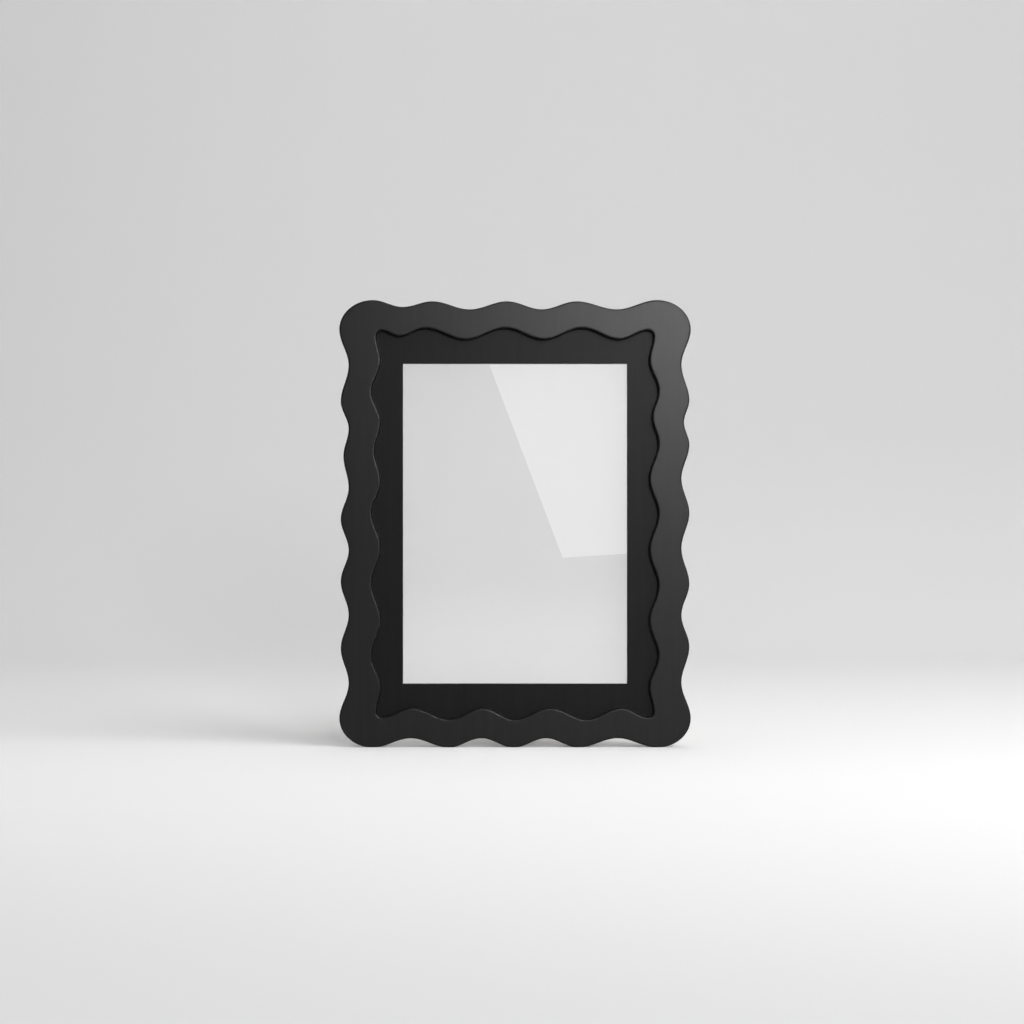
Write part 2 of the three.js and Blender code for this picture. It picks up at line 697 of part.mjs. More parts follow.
const nailSeat = BACK + 2 * GLUE_GAP + HANGER_SHEET;
for (const [name, hanger] of Object.entries(HANGERS)) {
  const { x, y } = hangerCentre(hanger);
  const strip = sawtoothHanger().rotateY(hanger.turn);
  add(frame, `sawtooth_hanger_${name}`, strip, steel, x, BACK + GLUE_GAP, y);
  hangerNails(hanger).forEach((point, i) => {
    add(frame, `hanger_nail_${name}_${i + 1}`, nail(), steel, point.x, nailSeat, point.y);
  });
}

add(hingeLine, "strut_board", strutBoard(), blackLacquer);
const boardGrip = LEAF_THICKNESS + 2 * GLUE_GAP + BOARD_THICKNESS;
const strutGrip = LEAF_THICKNESS + 2 * GLUE_GAP + STRUT_THICKNESS;
const rivetSeat = GLUE_GAP + LEAF_THICKNESS - KNUCKLE_RADIUS;
for (const [name, middle] of Object.entries(HINGES)) {
  add(hingeLine, `hinge_${name}_fixed_leaf`, leaf(false), brass, 0, 0, middle);
  const moving = leaf(true).rotateX(Math.PI).rotateZ(Math.PI / 2);
  add(hingeLine, `hinge_${name}_moving_leaf`, moving, brass, 0, 0, middle);
  add(hingeLine, `hinge_${name}_pin`, hingePin(), brass, 0, 0, middle);
  RIVET_HEIGHTS.forEach((up, i) => {
    const height = middle + up;
    const straight = rivet(boardGrip);
    const across = rivet(strutGrip).rotateZ(-Math.PI / 2);
    add(hingeLine, `hinge_${name}_board_rivet_${i + 1}`, straight, brass, RIVET_OUT, rivetSeat, height);
    add(hingeLine, `hinge_${name}_strut_rivet_${i + 1}`, across, brass, rivetSeat, RIVET_OUT, height);
  });
}

export default part;
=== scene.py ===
"""Looks of a wavy wooden picture frame, built round its solid model.

The file is laid out as an add-on: property groups hold the sizes and colours, an operator makes
each piece or group of like pieces, and main() calls them in order. Lengths are in metres, +Z is up,
and the front of the frame faces -Y.
"""

import math
from collections import namedtuple

import bmesh
import bpy
from mathutils import Matrix, Vector
from mathutils.geometry import tessellate_polygon


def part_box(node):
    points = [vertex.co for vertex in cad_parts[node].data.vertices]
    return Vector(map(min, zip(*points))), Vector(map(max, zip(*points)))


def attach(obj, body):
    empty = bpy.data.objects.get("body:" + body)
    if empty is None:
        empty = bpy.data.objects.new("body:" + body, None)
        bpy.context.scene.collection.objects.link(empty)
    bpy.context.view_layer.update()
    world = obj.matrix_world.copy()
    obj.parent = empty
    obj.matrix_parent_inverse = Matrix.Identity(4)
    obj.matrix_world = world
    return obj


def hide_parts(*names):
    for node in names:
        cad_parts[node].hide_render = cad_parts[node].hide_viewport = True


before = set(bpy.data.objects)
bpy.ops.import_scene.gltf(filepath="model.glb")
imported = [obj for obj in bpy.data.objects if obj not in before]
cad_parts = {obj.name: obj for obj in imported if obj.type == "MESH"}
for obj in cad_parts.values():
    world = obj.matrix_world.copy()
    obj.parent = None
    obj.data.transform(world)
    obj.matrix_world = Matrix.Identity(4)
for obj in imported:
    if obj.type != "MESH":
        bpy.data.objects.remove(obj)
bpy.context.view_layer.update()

bl_info = {
    "name": "Wavy picture frame",
    "version": (1, 0, 0),
    "blender": (4, 5, 0),
    "location": "3D View > Sidebar > Frame",
    "description": "Finishes a wavy wooden picture frame and sets it on a pale studio sweep",
    "category": "Object",
}

MM = 0.001
QUARTER = math.pi / 2


def linear(code):
    """An sRGB hex colour as linear red, green, blue and a full alpha."""
    channels = [int(code[i : i + 2], 16) / 255 for i in (1, 3, 5)]
    light = [c / 12.92 if c <= 0.04045 else ((c + 0.055) / 1.055) ** 2.4 for c in channels]
    return (*light, 1.0)


def length(name, description, default_mm):
    """A property for a length, with its default given in millimetres."""
    return bpy.props.FloatProperty(
        name=name,
        description=description,
        default=default_mm * MM,
        min=0.0,
        precision=4,
        unit="LENGTH",
    )


def colour(name, description, code):
    """A property for a colour, with its default given as sRGB hex."""
    return bpy.props.FloatVectorProperty(
        name=name,
        description=description,
        default=linear(code),
        size=4,
        min=0.0,
        max=1.0,
        subtype="COLOR",
    )


class WaveSizes(bpy.types.PropertyGroup):
    """Sizes of the wavy front. Insets are measured inward from its outermost line."""

    outer_swing: length("Outer swing", "Depth of the wave along the outer edge", 4.9)
    inner_swing: length("Inner swing", "Depth of the wave along the inner edge of top and bottom", 6.0)
    end_trough: length("End trough", "Inset of the inner edge's troughs on top and bottom", 20.8)
    side_trough: length("Side trough", "Inset of the inner edge's troughs on the sides", 21.75)
    side_inner_crest: length("Side inner crest", "Inset of the inner edge's crests on the sides", 17.0)
    end_notch: length("End notch", "Inset of the inner edge at the corners of top and bottom", 16.0)
    side_notch: length("Side notch", "Inset of the inner edge at the corners of the sides", 19.5)
    notch_radius: length("Notch radius", "Radius of the inner edge where it turns a corner", 3.0)
    lobe_across: length("Lobe across", "Width of the quarter ellipse at each outer corner", 17.8)
    lobe_up: length("Lobe up", "Height of the quarter ellipse at each outer corner", 15.5)
    top_crest: length("Top crest", "Inset of the outer crests along the top", 0.65)
    side_crest: length("Side crest", "Inset of the outer crests along the sides", 0.75)
    foot_flat: length("Foot flat", "Wood planed off the low crests", 0.25)
    arris: length("Arris", "Radius of the eased edges", 0.7)


class PlateSizes(bpy.types.PropertyGroup):
    """Sizes of the flat pieces behind the wavy front, and of the strut."""

    sight_lip: length("Sight lip", "Lap of the panel over each edge of the glass", 4.0)
    panel_arris: length("Panel arris", "Radius of the panel's eased edges", 0.3)
    rail_arris: length("Rail arris", "Radius of the rails' eased edges", 0.5)
    glass_arris: length("Glass arris", "Radius of the glass's ground edges", 0.2)
    sheet_arris: length("Sheet arris", "Radius of the blank sheet's edges", 0.1)
    board_arris: length("Board arris", "Radius of the back board's edges", 0.25)
    strut_arris: length("Strut arris", "Radius of the strut's eased edges", 0.6)
    strut_top: length("Strut top", "Depth of the strut at its top", 20.0)
    strut_corner: length("Strut corner", "Reach of the rounds at the strut's top and toe", 6.0)
    strut_flat: length("Strut flat", "Length of the strut's heel and of its toe", 14.0)
    strut_arch: length("Strut arch", "Height of the arch between heel and toe", 3.0)
    strut_draw: length("Strut draw", "How far the strut's curve is drawn in above the toe", 20.0)


class HardwareSizes(bpy.types.PropertyGroup):
    """Sizes of the metal parts."""

    hole_clearance: length("Hole clearance", "Room round a shank or a screw head", 0.15)
    button_arris: length("Button arris", "Radius of a turn button's edges", 0.25)
    sheet_arris: length("Sheet arris", "Radius of the edges of hangers and hinge leaves", 0.12)
    tooth_depth: length("Tooth depth", "Depth of the hanger's teeth", 1.6)
    hanger_tab: length("Hanger tab", "Flat end of a hanger, which takes a nail", 8.0)
    hanger_bend: length("Hanger bend", "Length of the slope from tab to middle", 2.5)
    hanger_sheet: length("Hanger sheet", "Thickness of a hanger", 0.8)
    leaf_sheet: length("Leaf sheet", "Thickness of a hinge leaf", 1.0)
    leaf_corner: length("Leaf corner", "Radius of a hinge leaf's corners", 2.0)
    rivet_out: length("Rivet out", "Distance of a leaf's rivets from the pin", 8.0)
    rivet_up: length("Rivet up", "Distance of a leaf's rivets from its middle", 7.5)
    knuckle_gap: length("Knuckle gap", "Room between the knuckles of a hinge", 0.3)
    knuckle_arris: length("Knuckle arris", "Radius of the knuckles' edges", 0.1)
    cross_reach: length("Cross reach", "Half the width of a screw's cross recess", 1.45)
    cross_arm: length("Cross arm", "Half the width of one arm of the recess", 0.32)
    cross_depth: length("Cross depth", "Depth of the recess", 1.1)


class FinishColours(bpy.types.PropertyGroup):
    """Colours of the finishes."""

    lacquer: colour("Lacquer", "Satin black lacquer on the wavy front and the strut", "#111111")
    lacquer_grain: colour("Lacquer grain", "Darker streaks of the grain under the lacquer", "#0b0b0b")
    panel: colour("Panel", "Matt black lacquer on the panel", "#121212")
    panel_grain: colour("Panel grain", "Darker streaks of the panel's grain", "#0d0d0d")
    stain: colour("Stain", "Black stain on the rails", "#2c2825")
    stain_grain: colour("Stain grain", "Open grain of the stained rails", "#191614")
    board: colour("Hardboard", "Bare hardboard of the back", "#a07a55")
    board_fibre: colour("Hardboard fibre", "Darker fibres in the hardboard", "#7f5c3d")
    sheet: colour("Sheet", "Blank sheet behind the glass", "#d5d4d5")
    zinc: colour("Zinc", "Zinc plating on the steel", "#b9bcc0")
    brass: colour("Brass", "Rolled brass of the hinges", "#b58f4e")


class StageLook(bpy.types.PropertyGroup):
    """Colours of the studio."""

    floor: colour("Floor", "Sweep under the frame", "#fcfcfc")
    # Painted shade: the floor is a little darker on the left.
    floor_left: colour("Floor, left", "Sweep where it is further from the side lamp", "#f8f8f8")
    # Painted shade: the floor darkens far towards the front.
    floor_front: colour("Floor, front", "Sweep far in front of the frame", "#c7c7c7")
    far: colour("Far", "Sweep out of the lamps' reach", "#e0e0e0")
    wall: colour("Wall", "Sweep as it rises behind the frame", "#f3f3f3")
    # Painted light: the wall is a little paler on the left, which evens out the side lamp's fall-off.
    wall_left: colour("Wall, left", "Wall where it is further from the side lamp", "#f5f5f5")


# Meshes

Outline = namedtuple("Outline", "outer holes", defaults=((),))
ARRIS_STEPS = 4
SMOOTH_ANGLE = math.radians(40)
FINE_CIRCLE = 32
COARSE_CIRCLE = 16
CURVE_STEPS = 12
# A ring on the flat keeps the rounded arris beside it from shading the whole face.
FLAT_RING = 1.5


def circle(centre, radius, steps=FINE_CIRCLE, start=0.0, turn=2 * math.pi):
    """Points round a circle, or along an arc of it with both of its ends."""
    count = steps if abs(turn) == 2 * math.pi else steps + 1
    angles = [start + turn * i / steps for i in range(count)]
    return [Vector((centre[0] + radius * math.cos(a), centre[1] + radius * math.sin(a))) for a in angles]


def drilled(centre, shank, sizes):
    """A round hole with room for a shank. It runs clockwise, as every hole does."""
    return circle(centre, shank + sizes.hole_clearance, turn=-2 * math.pi)


def rectangle(low, high):
    """A rectangle from its low corner to its high one, anticlockwise."""
    return [Vector(p) for p in ((low[0], low[1]), (high[0], low[1]), (high[0], high[1]), (low[0], high[1]))]


def bezier(start, leave, arrive, end, steps):
    """Points along a cubic curve, without its end."""
    pulls = [Vector(p) for p in (start, leave, arrive, end)]
    points = []
    for t in (i / steps for i in range(steps)):
        weights = ((1 - t) ** 3, 3 * t * (1 - t) ** 2, 3 * t * t * (1 - t), t**3)
        points.append(sum((w * p for w, p in zip(weights, pulls)), Vector((0, 0))))
    return points


def quadratic(start, pull, end):
    """Points along a quadratic curve, without its end."""
    start, pull, end = Vector(start), Vector(pull), Vector(end)
    return bezier(start, start.lerp(pull, 2 / 3), end.lerp(pull, 2 / 3), end, CURVE_STEPS)


def inset(loop, distance):
    """The loop moved to its left, which is into the wood for an outer loop and for a hole alike."""
    moved = []
    for i, point in enumerate(loop):
        before = (point - loop[i - 1]).normalized()
        after = (loop[(i + 1) % len(loop)] - point).normalized()
        left = Vector((-before.y, before.x))
        right = Vector((-after.y, after.x))
        moved.append(point + distance * (left + right) / (1 + left.dot(right)))
    return moved


def arris_rings():
    """Inset and depth of the rings round an arris of radius 1, from the face to the edge."""
    angles = [QUARTER * i / ARRIS_STEPS for i in range(ARRIS_STEPS + 1)]
    return [(FLAT_RING, 0.0)] + [(1 - math.sin(a), 1 - math.cos(a)) for a in angles]


def plate(outline, thickness, ease):
    """A flat plate with rounded arrises: outline in X and Y, front face at Z = 0 and back above it."""
    front = [(ease * tuck, ease * drop) for tuck, drop in arris_rings()]
    back = [(tuck, thickness - drop) for tuck, drop in reversed(front)]
    shape = bmesh.new()
    faces = {"front": [], "back": []}
    for loop in (outline.outer, *outline.holes):
        rings = []
        for tuck, depth in front + back:
            rings.append([shape.verts.new((p.x, p.y, depth)) for p in inset(loop, tuck)])
        for low, high in zip(rings, rings[1:]):
            for i in range(len(loop)):
                shape.faces.new((low[i - 1], low[i], high[i], high[i - 1]))
        faces["front"].append(rings[0])
        faces["back"].append(rings[-1])
    for loops in faces.values():
        fill(shape, loops)
    return shape


def fill(shape, loops):
    """Closes a flat face: an outer loop and its holes."""
    corners = [vert for loop in loops for vert in loop]
    for triangle in tessellate_polygon([[vert.co for vert in loop] for loop in loops]):
        shape.faces.new([corners[i] for i in triangle])


def turned(profile):
    """A piece turned about Z. The profile lists radius and height, and ends on the axis are closed."""
    shape = bmesh.new()
    rings = []
    for radius, height in profile:
        ring = circle((0, 0), radius) if radius > 0 else [Vector((0, 0))]
        rings.append([shape.verts.new((p.x, p.y, height)) for p in ring])
    for low, high in zip(rings, rings[1:]):
        for i in range(FINE_CIRCLE):
            under = [low[i - 1], low[i]] if len(low) > 1 else low
            over = [high[i], high[i - 1]] if len(high) > 1 else high
            shape.faces.new(under + over)
    return shape


def joined(shapes):
    """One shape that holds the faces of several."""
    whole = bmesh.new()
    for shape in shapes:
        part = bpy.data.meshes.new("part")
        shape.to_mesh(part)
        shape.free()
        whole.from_mesh(part)
        bpy.data.meshes.remove(part)
    return whole


def finished(shape, name, material, matrix=None):
    """Turns a shape into a smooth object with one material, its place in its mesh."""
    if matrix is not None:
        shape.transform(matrix)
    bmesh.ops.remove_doubles(shape, verts=shape.verts, dist=1e-7)
    bmesh.ops.recalc_face_normals(shape, faces=shape.faces)
    mesh = bpy.data.meshes.new(name)
    shape.to_mesh(mesh)
    shape.free()
    return placed(mesh, name, material)


def placed(mesh, name, material):
    """Links a mesh as an object, smooth except across its sharp edges."""
    mesh.shade_smooth()
    mesh.set_sharp_from_angle(angle=SMOOTH_ANGLE)
    mesh.materials.clear()
    mesh.materials.append(material)
    piece = bpy.data.objects.new(name, mesh)
    bpy.context.scene.collection.objects.link(piece)
    return piece


def stands_for(piece, body, slot, *nodes):
    """The piece rides on a body and stands for solids of the model."""
    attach(piece, body)
    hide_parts(*nodes)


def fitted(shape, node, body, slot, matrix=None):
    """Finishes the piece that stands for one solid of the model."""
    piece = finished(shape, f"{node}_finished", finish(slot), matrix)
    stands_for(piece, body, slot, node)
    return piece


def casts_no_shade(piece):
    """Lets light go past a piece to what lies behind it. The piece looks as before."""
    piece.visible_shadow = False
    piece.visible_diffuse = False


def upright(front):
    """Stands a plate up: its outline goes to X and Z, and its front face to Y = front."""
    return Matrix(((1, 0, 0, 0), (0, 0, 1, front), (0, 1, 0, 0), (0, 0, 0, 1)))


def upright_plate(node, body, slot, ease, holes=(), outer=None):
    """A plate with the thickness of its solid, and its outline unless another is given."""
    low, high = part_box(node)
    outline = Outline(outer or rectangle(low.xz, high.xz), holes)
    return fitted(plate(outline, high.y - low.y, ease), node, body, slot, upright(low.y))


def middle(node):
    """The middle of a solid of the model."""
    low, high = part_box(node)
    return (low + high) / 2


def pairs(*stems):
    """The names of like solids that come in twos."""
    return [f"{stem}_{number}" for stem in stems for number in (1, 2)]


# Node trees

MATHS = "ShaderNodeMath"
VECTOR_MATHS = "ShaderNodeVectorMath"
NAMED_VALUE = "GeometryNodeInputNamedAttribute"
TIMES = {"operation": "MULTIPLY"}
TIMES_PLUS = {"operation": "MULTIPLY_ADD"}
MOST = {"operation": "MAXIMUM"}


def add_node(tree, kind, settings=None, inputs=None):
    """Adds a node, sets its options, and sets each input or links it to a socket or a node's first one."""
    node = tree.nodes.new(kind)
    for name, value in (settings or {}).items():
        setattr(node, name, value)
    for key, value in (inputs or {}).items():
        if isinstance(value, bpy.types.Node):
            value = value.outputs[0]
        if isinstance(value, bpy.types.NodeSocket):
            tree.links.new(value, node.inputs[key])
        else:
            node.inputs[key].default_value = value
    return node


def geometry_tree(name, kinds):
    """A tree of geometry nodes with named inputs. Returns it and its input node's sockets."""
    tree = bpy.data.node_groups.new(name, "GeometryNodeTree")
    tree.is_modifier = True
    tree.interface.new_socket("Geometry", in_out="INPUT", socket_type="NodeSocketGeometry")
    for socket, kind in kinds.items():
        tree.interface.new_socket(socket, in_out="INPUT", socket_type=f"NodeSocket{kind}")
    tree.interface.new_socket("Geometry", in_out="OUTPUT", socket_type="NodeSocketGeometry")
    return tree, tree.nodes.new("NodeGroupInput").outputs


def end_tree(tree, geometry, material):
    """Closes a tree: realized, with its material."""
    real = add_node(tree, "GeometryNodeRealizeInstances", inputs={0: geometry})
    painted = add_node(tree, "GeometryNodeSetMaterial", inputs={0: real, "Material": material})
    add_node(tree, "NodeGroupOutput", inputs={0: painted})


def grown(guide, tree, values):
    """Runs a tree on a guide mesh and returns the plain mesh that it makes."""
    carrier = bpy.data.objects.new(guide.name, guide)
    bpy.context.scene.collection.objects.link(carrier)
    modifier = carrier.modifiers.new(tree.name, "NODES")
    modifier.node_group = tree
    for item in tree.interface.items_tree:
        if item.in_out == "INPUT" and item.name in values:
            modifier[item.identifier] = values[item.name]
    depsgraph = bpy.context.evaluated_depsgraph_get()
    mesh = bpy.data.meshes.new_from_object(carrier.evaluated_get(depsgraph), depsgraph=depsgraph)
    carrier.modifiers.remove(modifier)
    bpy.data.objects.remove(carrier)
    return mesh


def store(mesh, name, kind, values):
    """Stores one value for each point of a mesh."""
    attribute = mesh.attributes.new(name, kind, "POINT")
    if kind == "FLOAT_VECTOR":
        attribute.data.foreach_set("vector", [c for v in values for c in v])
    else:
        attribute.data.foreach_set("value", values)


# Materials

SURFACE = "ShaderNodeBsdfPrincipled"
OUTPUT = "ShaderNodeOutputMaterial"
RANGE = "ShaderNodeMapRange"
BUMP = "ShaderNodeBump"
# Most of a noise lies in this span.
NOISE_SPAN = {"From Min": 0.3, "From Max": 0.7}
# Relief of the wood's pores and of the coat's orange peel, beside that of the grain.
PORE_RELIEF = 0.6
PEEL_RELIEF = 0.35
# The hardboard's fibres and blotches together run over this span.
BOARD_SPAN = {"From Min": 0.4, "From Max": 0.9}
BLOTCH_SHARE = 0.3
FIBRE_RELIEF = 1.5
WIRE_PITCH = 1.4 * MM
# How much paler the card's upper fibres are.
CARD_FIBRE = 1.03
FINISHES = {}


def new_material(name):
    """A material and its tree, which is empty."""
    material = bpy.data.materials.new(name)
    material.use_nodes = True
    material.node_tree.nodes.clear()
    return material, material.node_tree


def pattern(tree, across_mm, along_mm, detail, roughness=0.55):
    """A noise whose patches are this wide and, along Z, this long."""
    where = add_node(tree, "ShaderNodeTexCoord").outputs["Object"]
    scale = [1 / (size * MM) for size in (across_mm, across_mm, along_mm)]
    spot = add_node(tree, "ShaderNodeMapping", inputs={"Vector": where, "Scale": scale})
    inputs = {"Vector": spot, "Scale": 1.0, "Detail": detail, "Roughness": roughness}
    return add_node(tree, "ShaderNodeTexNoise", inputs=inputs)


def graded(tree, value, span, first, second, ease="LINEAR"):
    """A colour that runs from the first to the second as a value goes over a span."""
    share = add_node(tree, RANGE, {"interpolation_type": ease}, {"Value": value, **span})
    return add_node(tree, "ShaderNodeMix", {"data_type": "RGBA"}, {0: share, 6: first, 7: second}).outputs[2]


def surfaced(tree, inputs):
    """Ends a material's tree in a surface with these inputs."""
    surface = add_node(tree, SURFACE, inputs=inputs)
    add_node(tree, OUTPUT, inputs={"Surface": surface})


def textured(tree, shade, marks, gloss, relief, relief_mm, others):
    """Ends a material's tree in a surface whose gloss follows some marks, and whose normal a relief."""
    low, high = gloss
    roughness = add_node(tree, RANGE, inputs={"Value": marks, **NOISE_SPAN, "To Min": low, "To Max": high})
    normal = add_node(tree, BUMP, inputs={"Height": relief, "Distance": relief_mm * MM})
    surfaced(tree, {"Base Color": shade, "Roughness": roughness, "Normal": normal, **others})


def scaled(shade, share):
    """A colour with its light scaled, no further than white."""
    return (*(min(1.0, share * c) for c in shade[:3]), 1.0)


def coated_wood(name, face, grain, grain_mm, gloss, relief_mm, shine):
    """Wood under a coat: upright streaks of grain, fine pores and the coat's orange peel."""
    material, tree = new_material(name)
    streaks = pattern(tree, across_mm=grain_mm, along_mm=45.0, detail=4.0)
    pores = pattern(tree, across_mm=0.35, along_mm=5.0, detail=2.0)
    peel = pattern(tree, across_mm=1.1, along_mm=1.1, detail=2.0)
    relief = add_node(tree, MATHS, TIMES_PLUS, {0: pores, 1: PORE_RELIEF, 2: streaks})
    relief = add_node(tree, MATHS, TIMES_PLUS, {0: peel, 1: PEEL_RELIEF, 2: relief})
    shade = graded(tree, streaks, NOISE_SPAN, face, grain)
    textured(tree, shade, peel, gloss, relief, relief_mm, {"Specular IOR Level": shine})
    return material


def black_lacquer(colours):
    """Satin lacquer on close-grained beech: the grain hardly shows, and light fades softly over it."""
    return coated_wood(
        "Satin black lacquer on beech",
        colours.lacquer,
        colours.lacquer_grain,
        grain_mm=1.6,
        gloss=(0.29, 0.32),
        relief_mm=0.003,
        shine=0.18,
    )


def black_panel(colours):
    """Matt lacquer on birch ply: calmer and duller than the ribbon, with fine streaks."""
    return coated_wood(
        "Matt black lacquer on birch ply",
        colours.panel,
        colours.panel_grain,
        grain_mm=1.2,
        gloss=(0.33, 0.37),
        relief_mm=0.004,
        shine=0.085,
    )


def black_stain(colours):
    """Stain on planed pine, with no lacquer over it: dull, with open grain."""
    return coated_wood(
        "Black-stained pine",
        colours.stain,
        colours.stain_grain,
        grain_mm=1.4,
        gloss=(0.6, 0.75),
        relief_mm=0.06,
        shine=0.3,
    )


def hardboard(colours):
    """Pressed hardboard: brown fibres, and the imprint of the press's wire screen."""
    material, tree = new_material("Pressed hardboard")
    fibres = pattern(tree, across_mm=0.9, along_mm=0.9, detail=5.0, roughness=0.7)
    blotches = pattern(tree, across_mm=14.0, along_mm=14.0, detail=2.0)
    share = add_node(tree, MATHS, TIMES_PLUS, {0: blotches, 1: BLOTCH_SHARE, 2: fibres})
    where = add_node(tree, "ShaderNodeTexCoord").outputs["Object"]
    x, _, z = add_node(tree, "ShaderNodeSeparateXYZ", inputs={0: where}).outputs
    wires = []
    for axis in (x, z):
        turn = add_node(tree, MATHS, TIMES, {0: axis, 1: 2 * math.pi / WIRE_PITCH})
        wires.append(add_node(tree, MATHS, {"operation": "SINE"}, {0: turn}))
    screen = add_node(tree, MATHS, TIMES, {0: wires[0], 1: wires[1]})
    relief = add_node(tree, MATHS, TIMES_PLUS, {0: fibres, 1: FIBRE_RELIEF, 2: screen})
    shade = graded(tree, share, BOARD_SPAN, colours.board, colours.board_fibre)
    textured(tree, shade, fibres, gloss=(0.68, 0.85), relief=relief, relief_mm=0.06, others={})
    return material


def pale_sheet(colours):
    """Uncoated pale card: matt, with a faint felt-like fibre."""
    material, tree = new_material("Blank pale card")
    fibre = pattern(tree, across_mm=0.6, along_mm=0.6, detail=4.0, roughness=0.65)
    shade = graded(tree, fibre, NOISE_SPAN, colours.sheet, scaled(colours.sheet, CARD_FIBRE))
    normal = add_node(tree, BUMP, inputs={"Height": fibre, "Distance": 0.01 * MM, "Strength": 0.4})
    surfaced(tree, {"Base Color": shade, "Roughness": 0.85, "Normal": normal})
    return material


def clear_glass(_):
    """Clear float glass: smooth, and nearly colourless in so thin a pane."""
    material, tree = new_material("Clear float glass")
    inputs = {"Base Color": linear("#fdfefd"), "Roughness": 0.0, "IOR": 1.52, "Transmission Weight": 1.0}
    surfaced(tree, inputs)
    return material


def rolled_metal(name, tint, dull, patch_mm, detail, mark_mm, gloss, relief_mm):
    """Rolled sheet metal: cloudy patches of a duller tint, and long fine marks of the rolls."""
    material, tree = new_material(name)
    patches = pattern(tree, across_mm=patch_mm, along_mm=patch_mm, detail=detail)
    marks = pattern(tree, across_mm=mark_mm[0], along_mm=mark_mm[1], detail=2.0)
    shade = graded(tree, patches, NOISE_SPAN, tint, scaled(tint, dull))
    textured(tree, shade, marks, gloss, marks, relief_mm, {"Metallic": 1.0})
    return material


def zinc_steel(colours):
    """Zinc plating on rolled steel: bright and bluish, with cloudy passivated patches."""
    return rolled_metal(
        "Zinc-plated steel",
        colours.zinc,
        dull=0.8,
        patch_mm=3.0,
        detail=3.0,
        mark_mm=(0.25, 4.0),
        gloss=(0.28, 0.46),
        relief_mm=0.008,
    )


def brass(colours):
    """Rolled sheet brass: warm, with long rolling marks and a little tarnish."""
    return rolled_metal(
        "Rolled brass",
        colours.brass,
        dull=0.62,
        patch_mm=4.0,
        detail=4.0,
        mark_mm=(0.2, 6.0),
        gloss=(0.25, 0.42),
        relief_mm=0.006,
    )


MAKERS = (black_lacquer, black_panel, black_stain, hardboard, pale_sheet, clear_glass, zinc_steel, brass)


def finish(slot):
    """The material of one slot, made once."""
    if slot not in FINISHES:
        makers = {maker.__name__: maker for maker in MAKERS}
        FINISHES[slot] = makers[slot](bpy.context.scene.frame_colours)
    return FINISHES[slot]


# The wavy front

# Crests along each side, as shares of the run from one corner lobe to the next, anticlockwise from
# the bottom left. They are uneven, as in a wave drawn by hand.
OUTER_CRESTS = {
    "bottom": (0.267, 0.496, 0.722),
    "right": (0.184, 0.346, 0.528, 0.704, 0.818),
    "top": (0.283, 0.528, 0.791),
    "left": (0.185, 0.326, 0.488, 0.648, 0.82),
}
INNER_CRESTS = {
    "bottom": (0.271, 0.499, 0.751),
    "right": (0.162, 0.342, 0.527, 0.707, 0.843),
    "top": (0.263, 0.533, 0.815),
    "left": (0.161, 0.314, 0.47, 0.653, 0.839),
}
# Short waves are shallow. Turning points are counted from the corner, which is number 0, and stand
# at 0 for a trough and 1 for a crest unless they are named here.
SHALLOW = {
    "bottom": {},
    "right": {9: 0.32},
    "top": {7: 0.3},
    "left": {4: 0.66},
}
ALONG = {
    "bottom": Vector((1, 0)),
    "right": Vector((0, 1)),
    "top": Vector((-1, 0)),
    "left": Vector((0, -1)),
}
HALF_WAVE_STEPS = 14
CORNER_STEPS = 20

# A station of one edge: its place on the line of the troughs, its way out and its way along, how
# far round the wave it is, how fast that changes, and its share of the edge's swing.
Station = namedtuple("Station", "place out along phase rate share")
# A point of the ribbon is a station and a spot of its section: outer edge or inner, front face or
# back, and how far it is tucked in from the edge and dropped from the face, in radii of the arris.
Point = namedtuple("Point", Station._fields + ("edge", "face", "tuck", "drop"))
POINT_VALUES = {name: "FLOAT" for name in Point._fields[1:]}
POINT_VALUES |= {"out": "FLOAT_VECTOR", "along": "FLOAT_VECTOR"}


def side_stations(along, half_run, line, shares, lifts, swing):
    """Stations of one side. Shares are its turning points, and lifts their shares of the swing."""
    out = Vector((along.y, -along.x))
    made = []
    for i, (start, end) in enumerate(zip(shares, shares[1:])):
        falls = i % 2 == 0
        low, high = sorted(lifts[i : i + 2])
        rate = math.pi / (2 * half_run * (end - start))
        for t in (step / HALF_WAVE_STEPS for step in range(HALF_WAVE_STEPS)):
            along_run = (2 * (start + (end - start) * t) - 1) * half_run
            phase = math.pi * (t if falls else 1 + t)
            place = along * along_run + out * (line + low * swing)
            made.append(Station(place, out, along, phase, rate, high - low))
    return made


def corner_stations(along, centre, radii):
    """Stations round the corner at the end of a side. They have no share of the swing."""
    out = Vector((along.y, -along.x))
    middle_of_turn = centre * (along + out)
    start = math.atan2(out.y, out.x)
    made = []
    for step in range(CORNER_STEPS):
        angle = start + QUARTER * step / CORNER_STEPS
        turn = Vector((math.cos(angle), math.sin(angle)))
        normal = Vector((turn.x / radii.x, turn.y / radii.y)).normalized()
        onward = Vector((-normal.y, normal.x))
        made.append(Station(middle_of_turn + radii * turn, normal, onward, 0.0, 0.0, 0.0))
    return made


def turning_shares(crests, corner):
    """Shares of corner, troughs and crests along a side, in order."""
    tops = [0.0, *crests, 1.0]
    shares = [corner]
    for before, after in zip(tops, tops[1:]):
        shares += [(before + after) / 2, after]
    shares[-1] = 1.0 - corner
    return shares


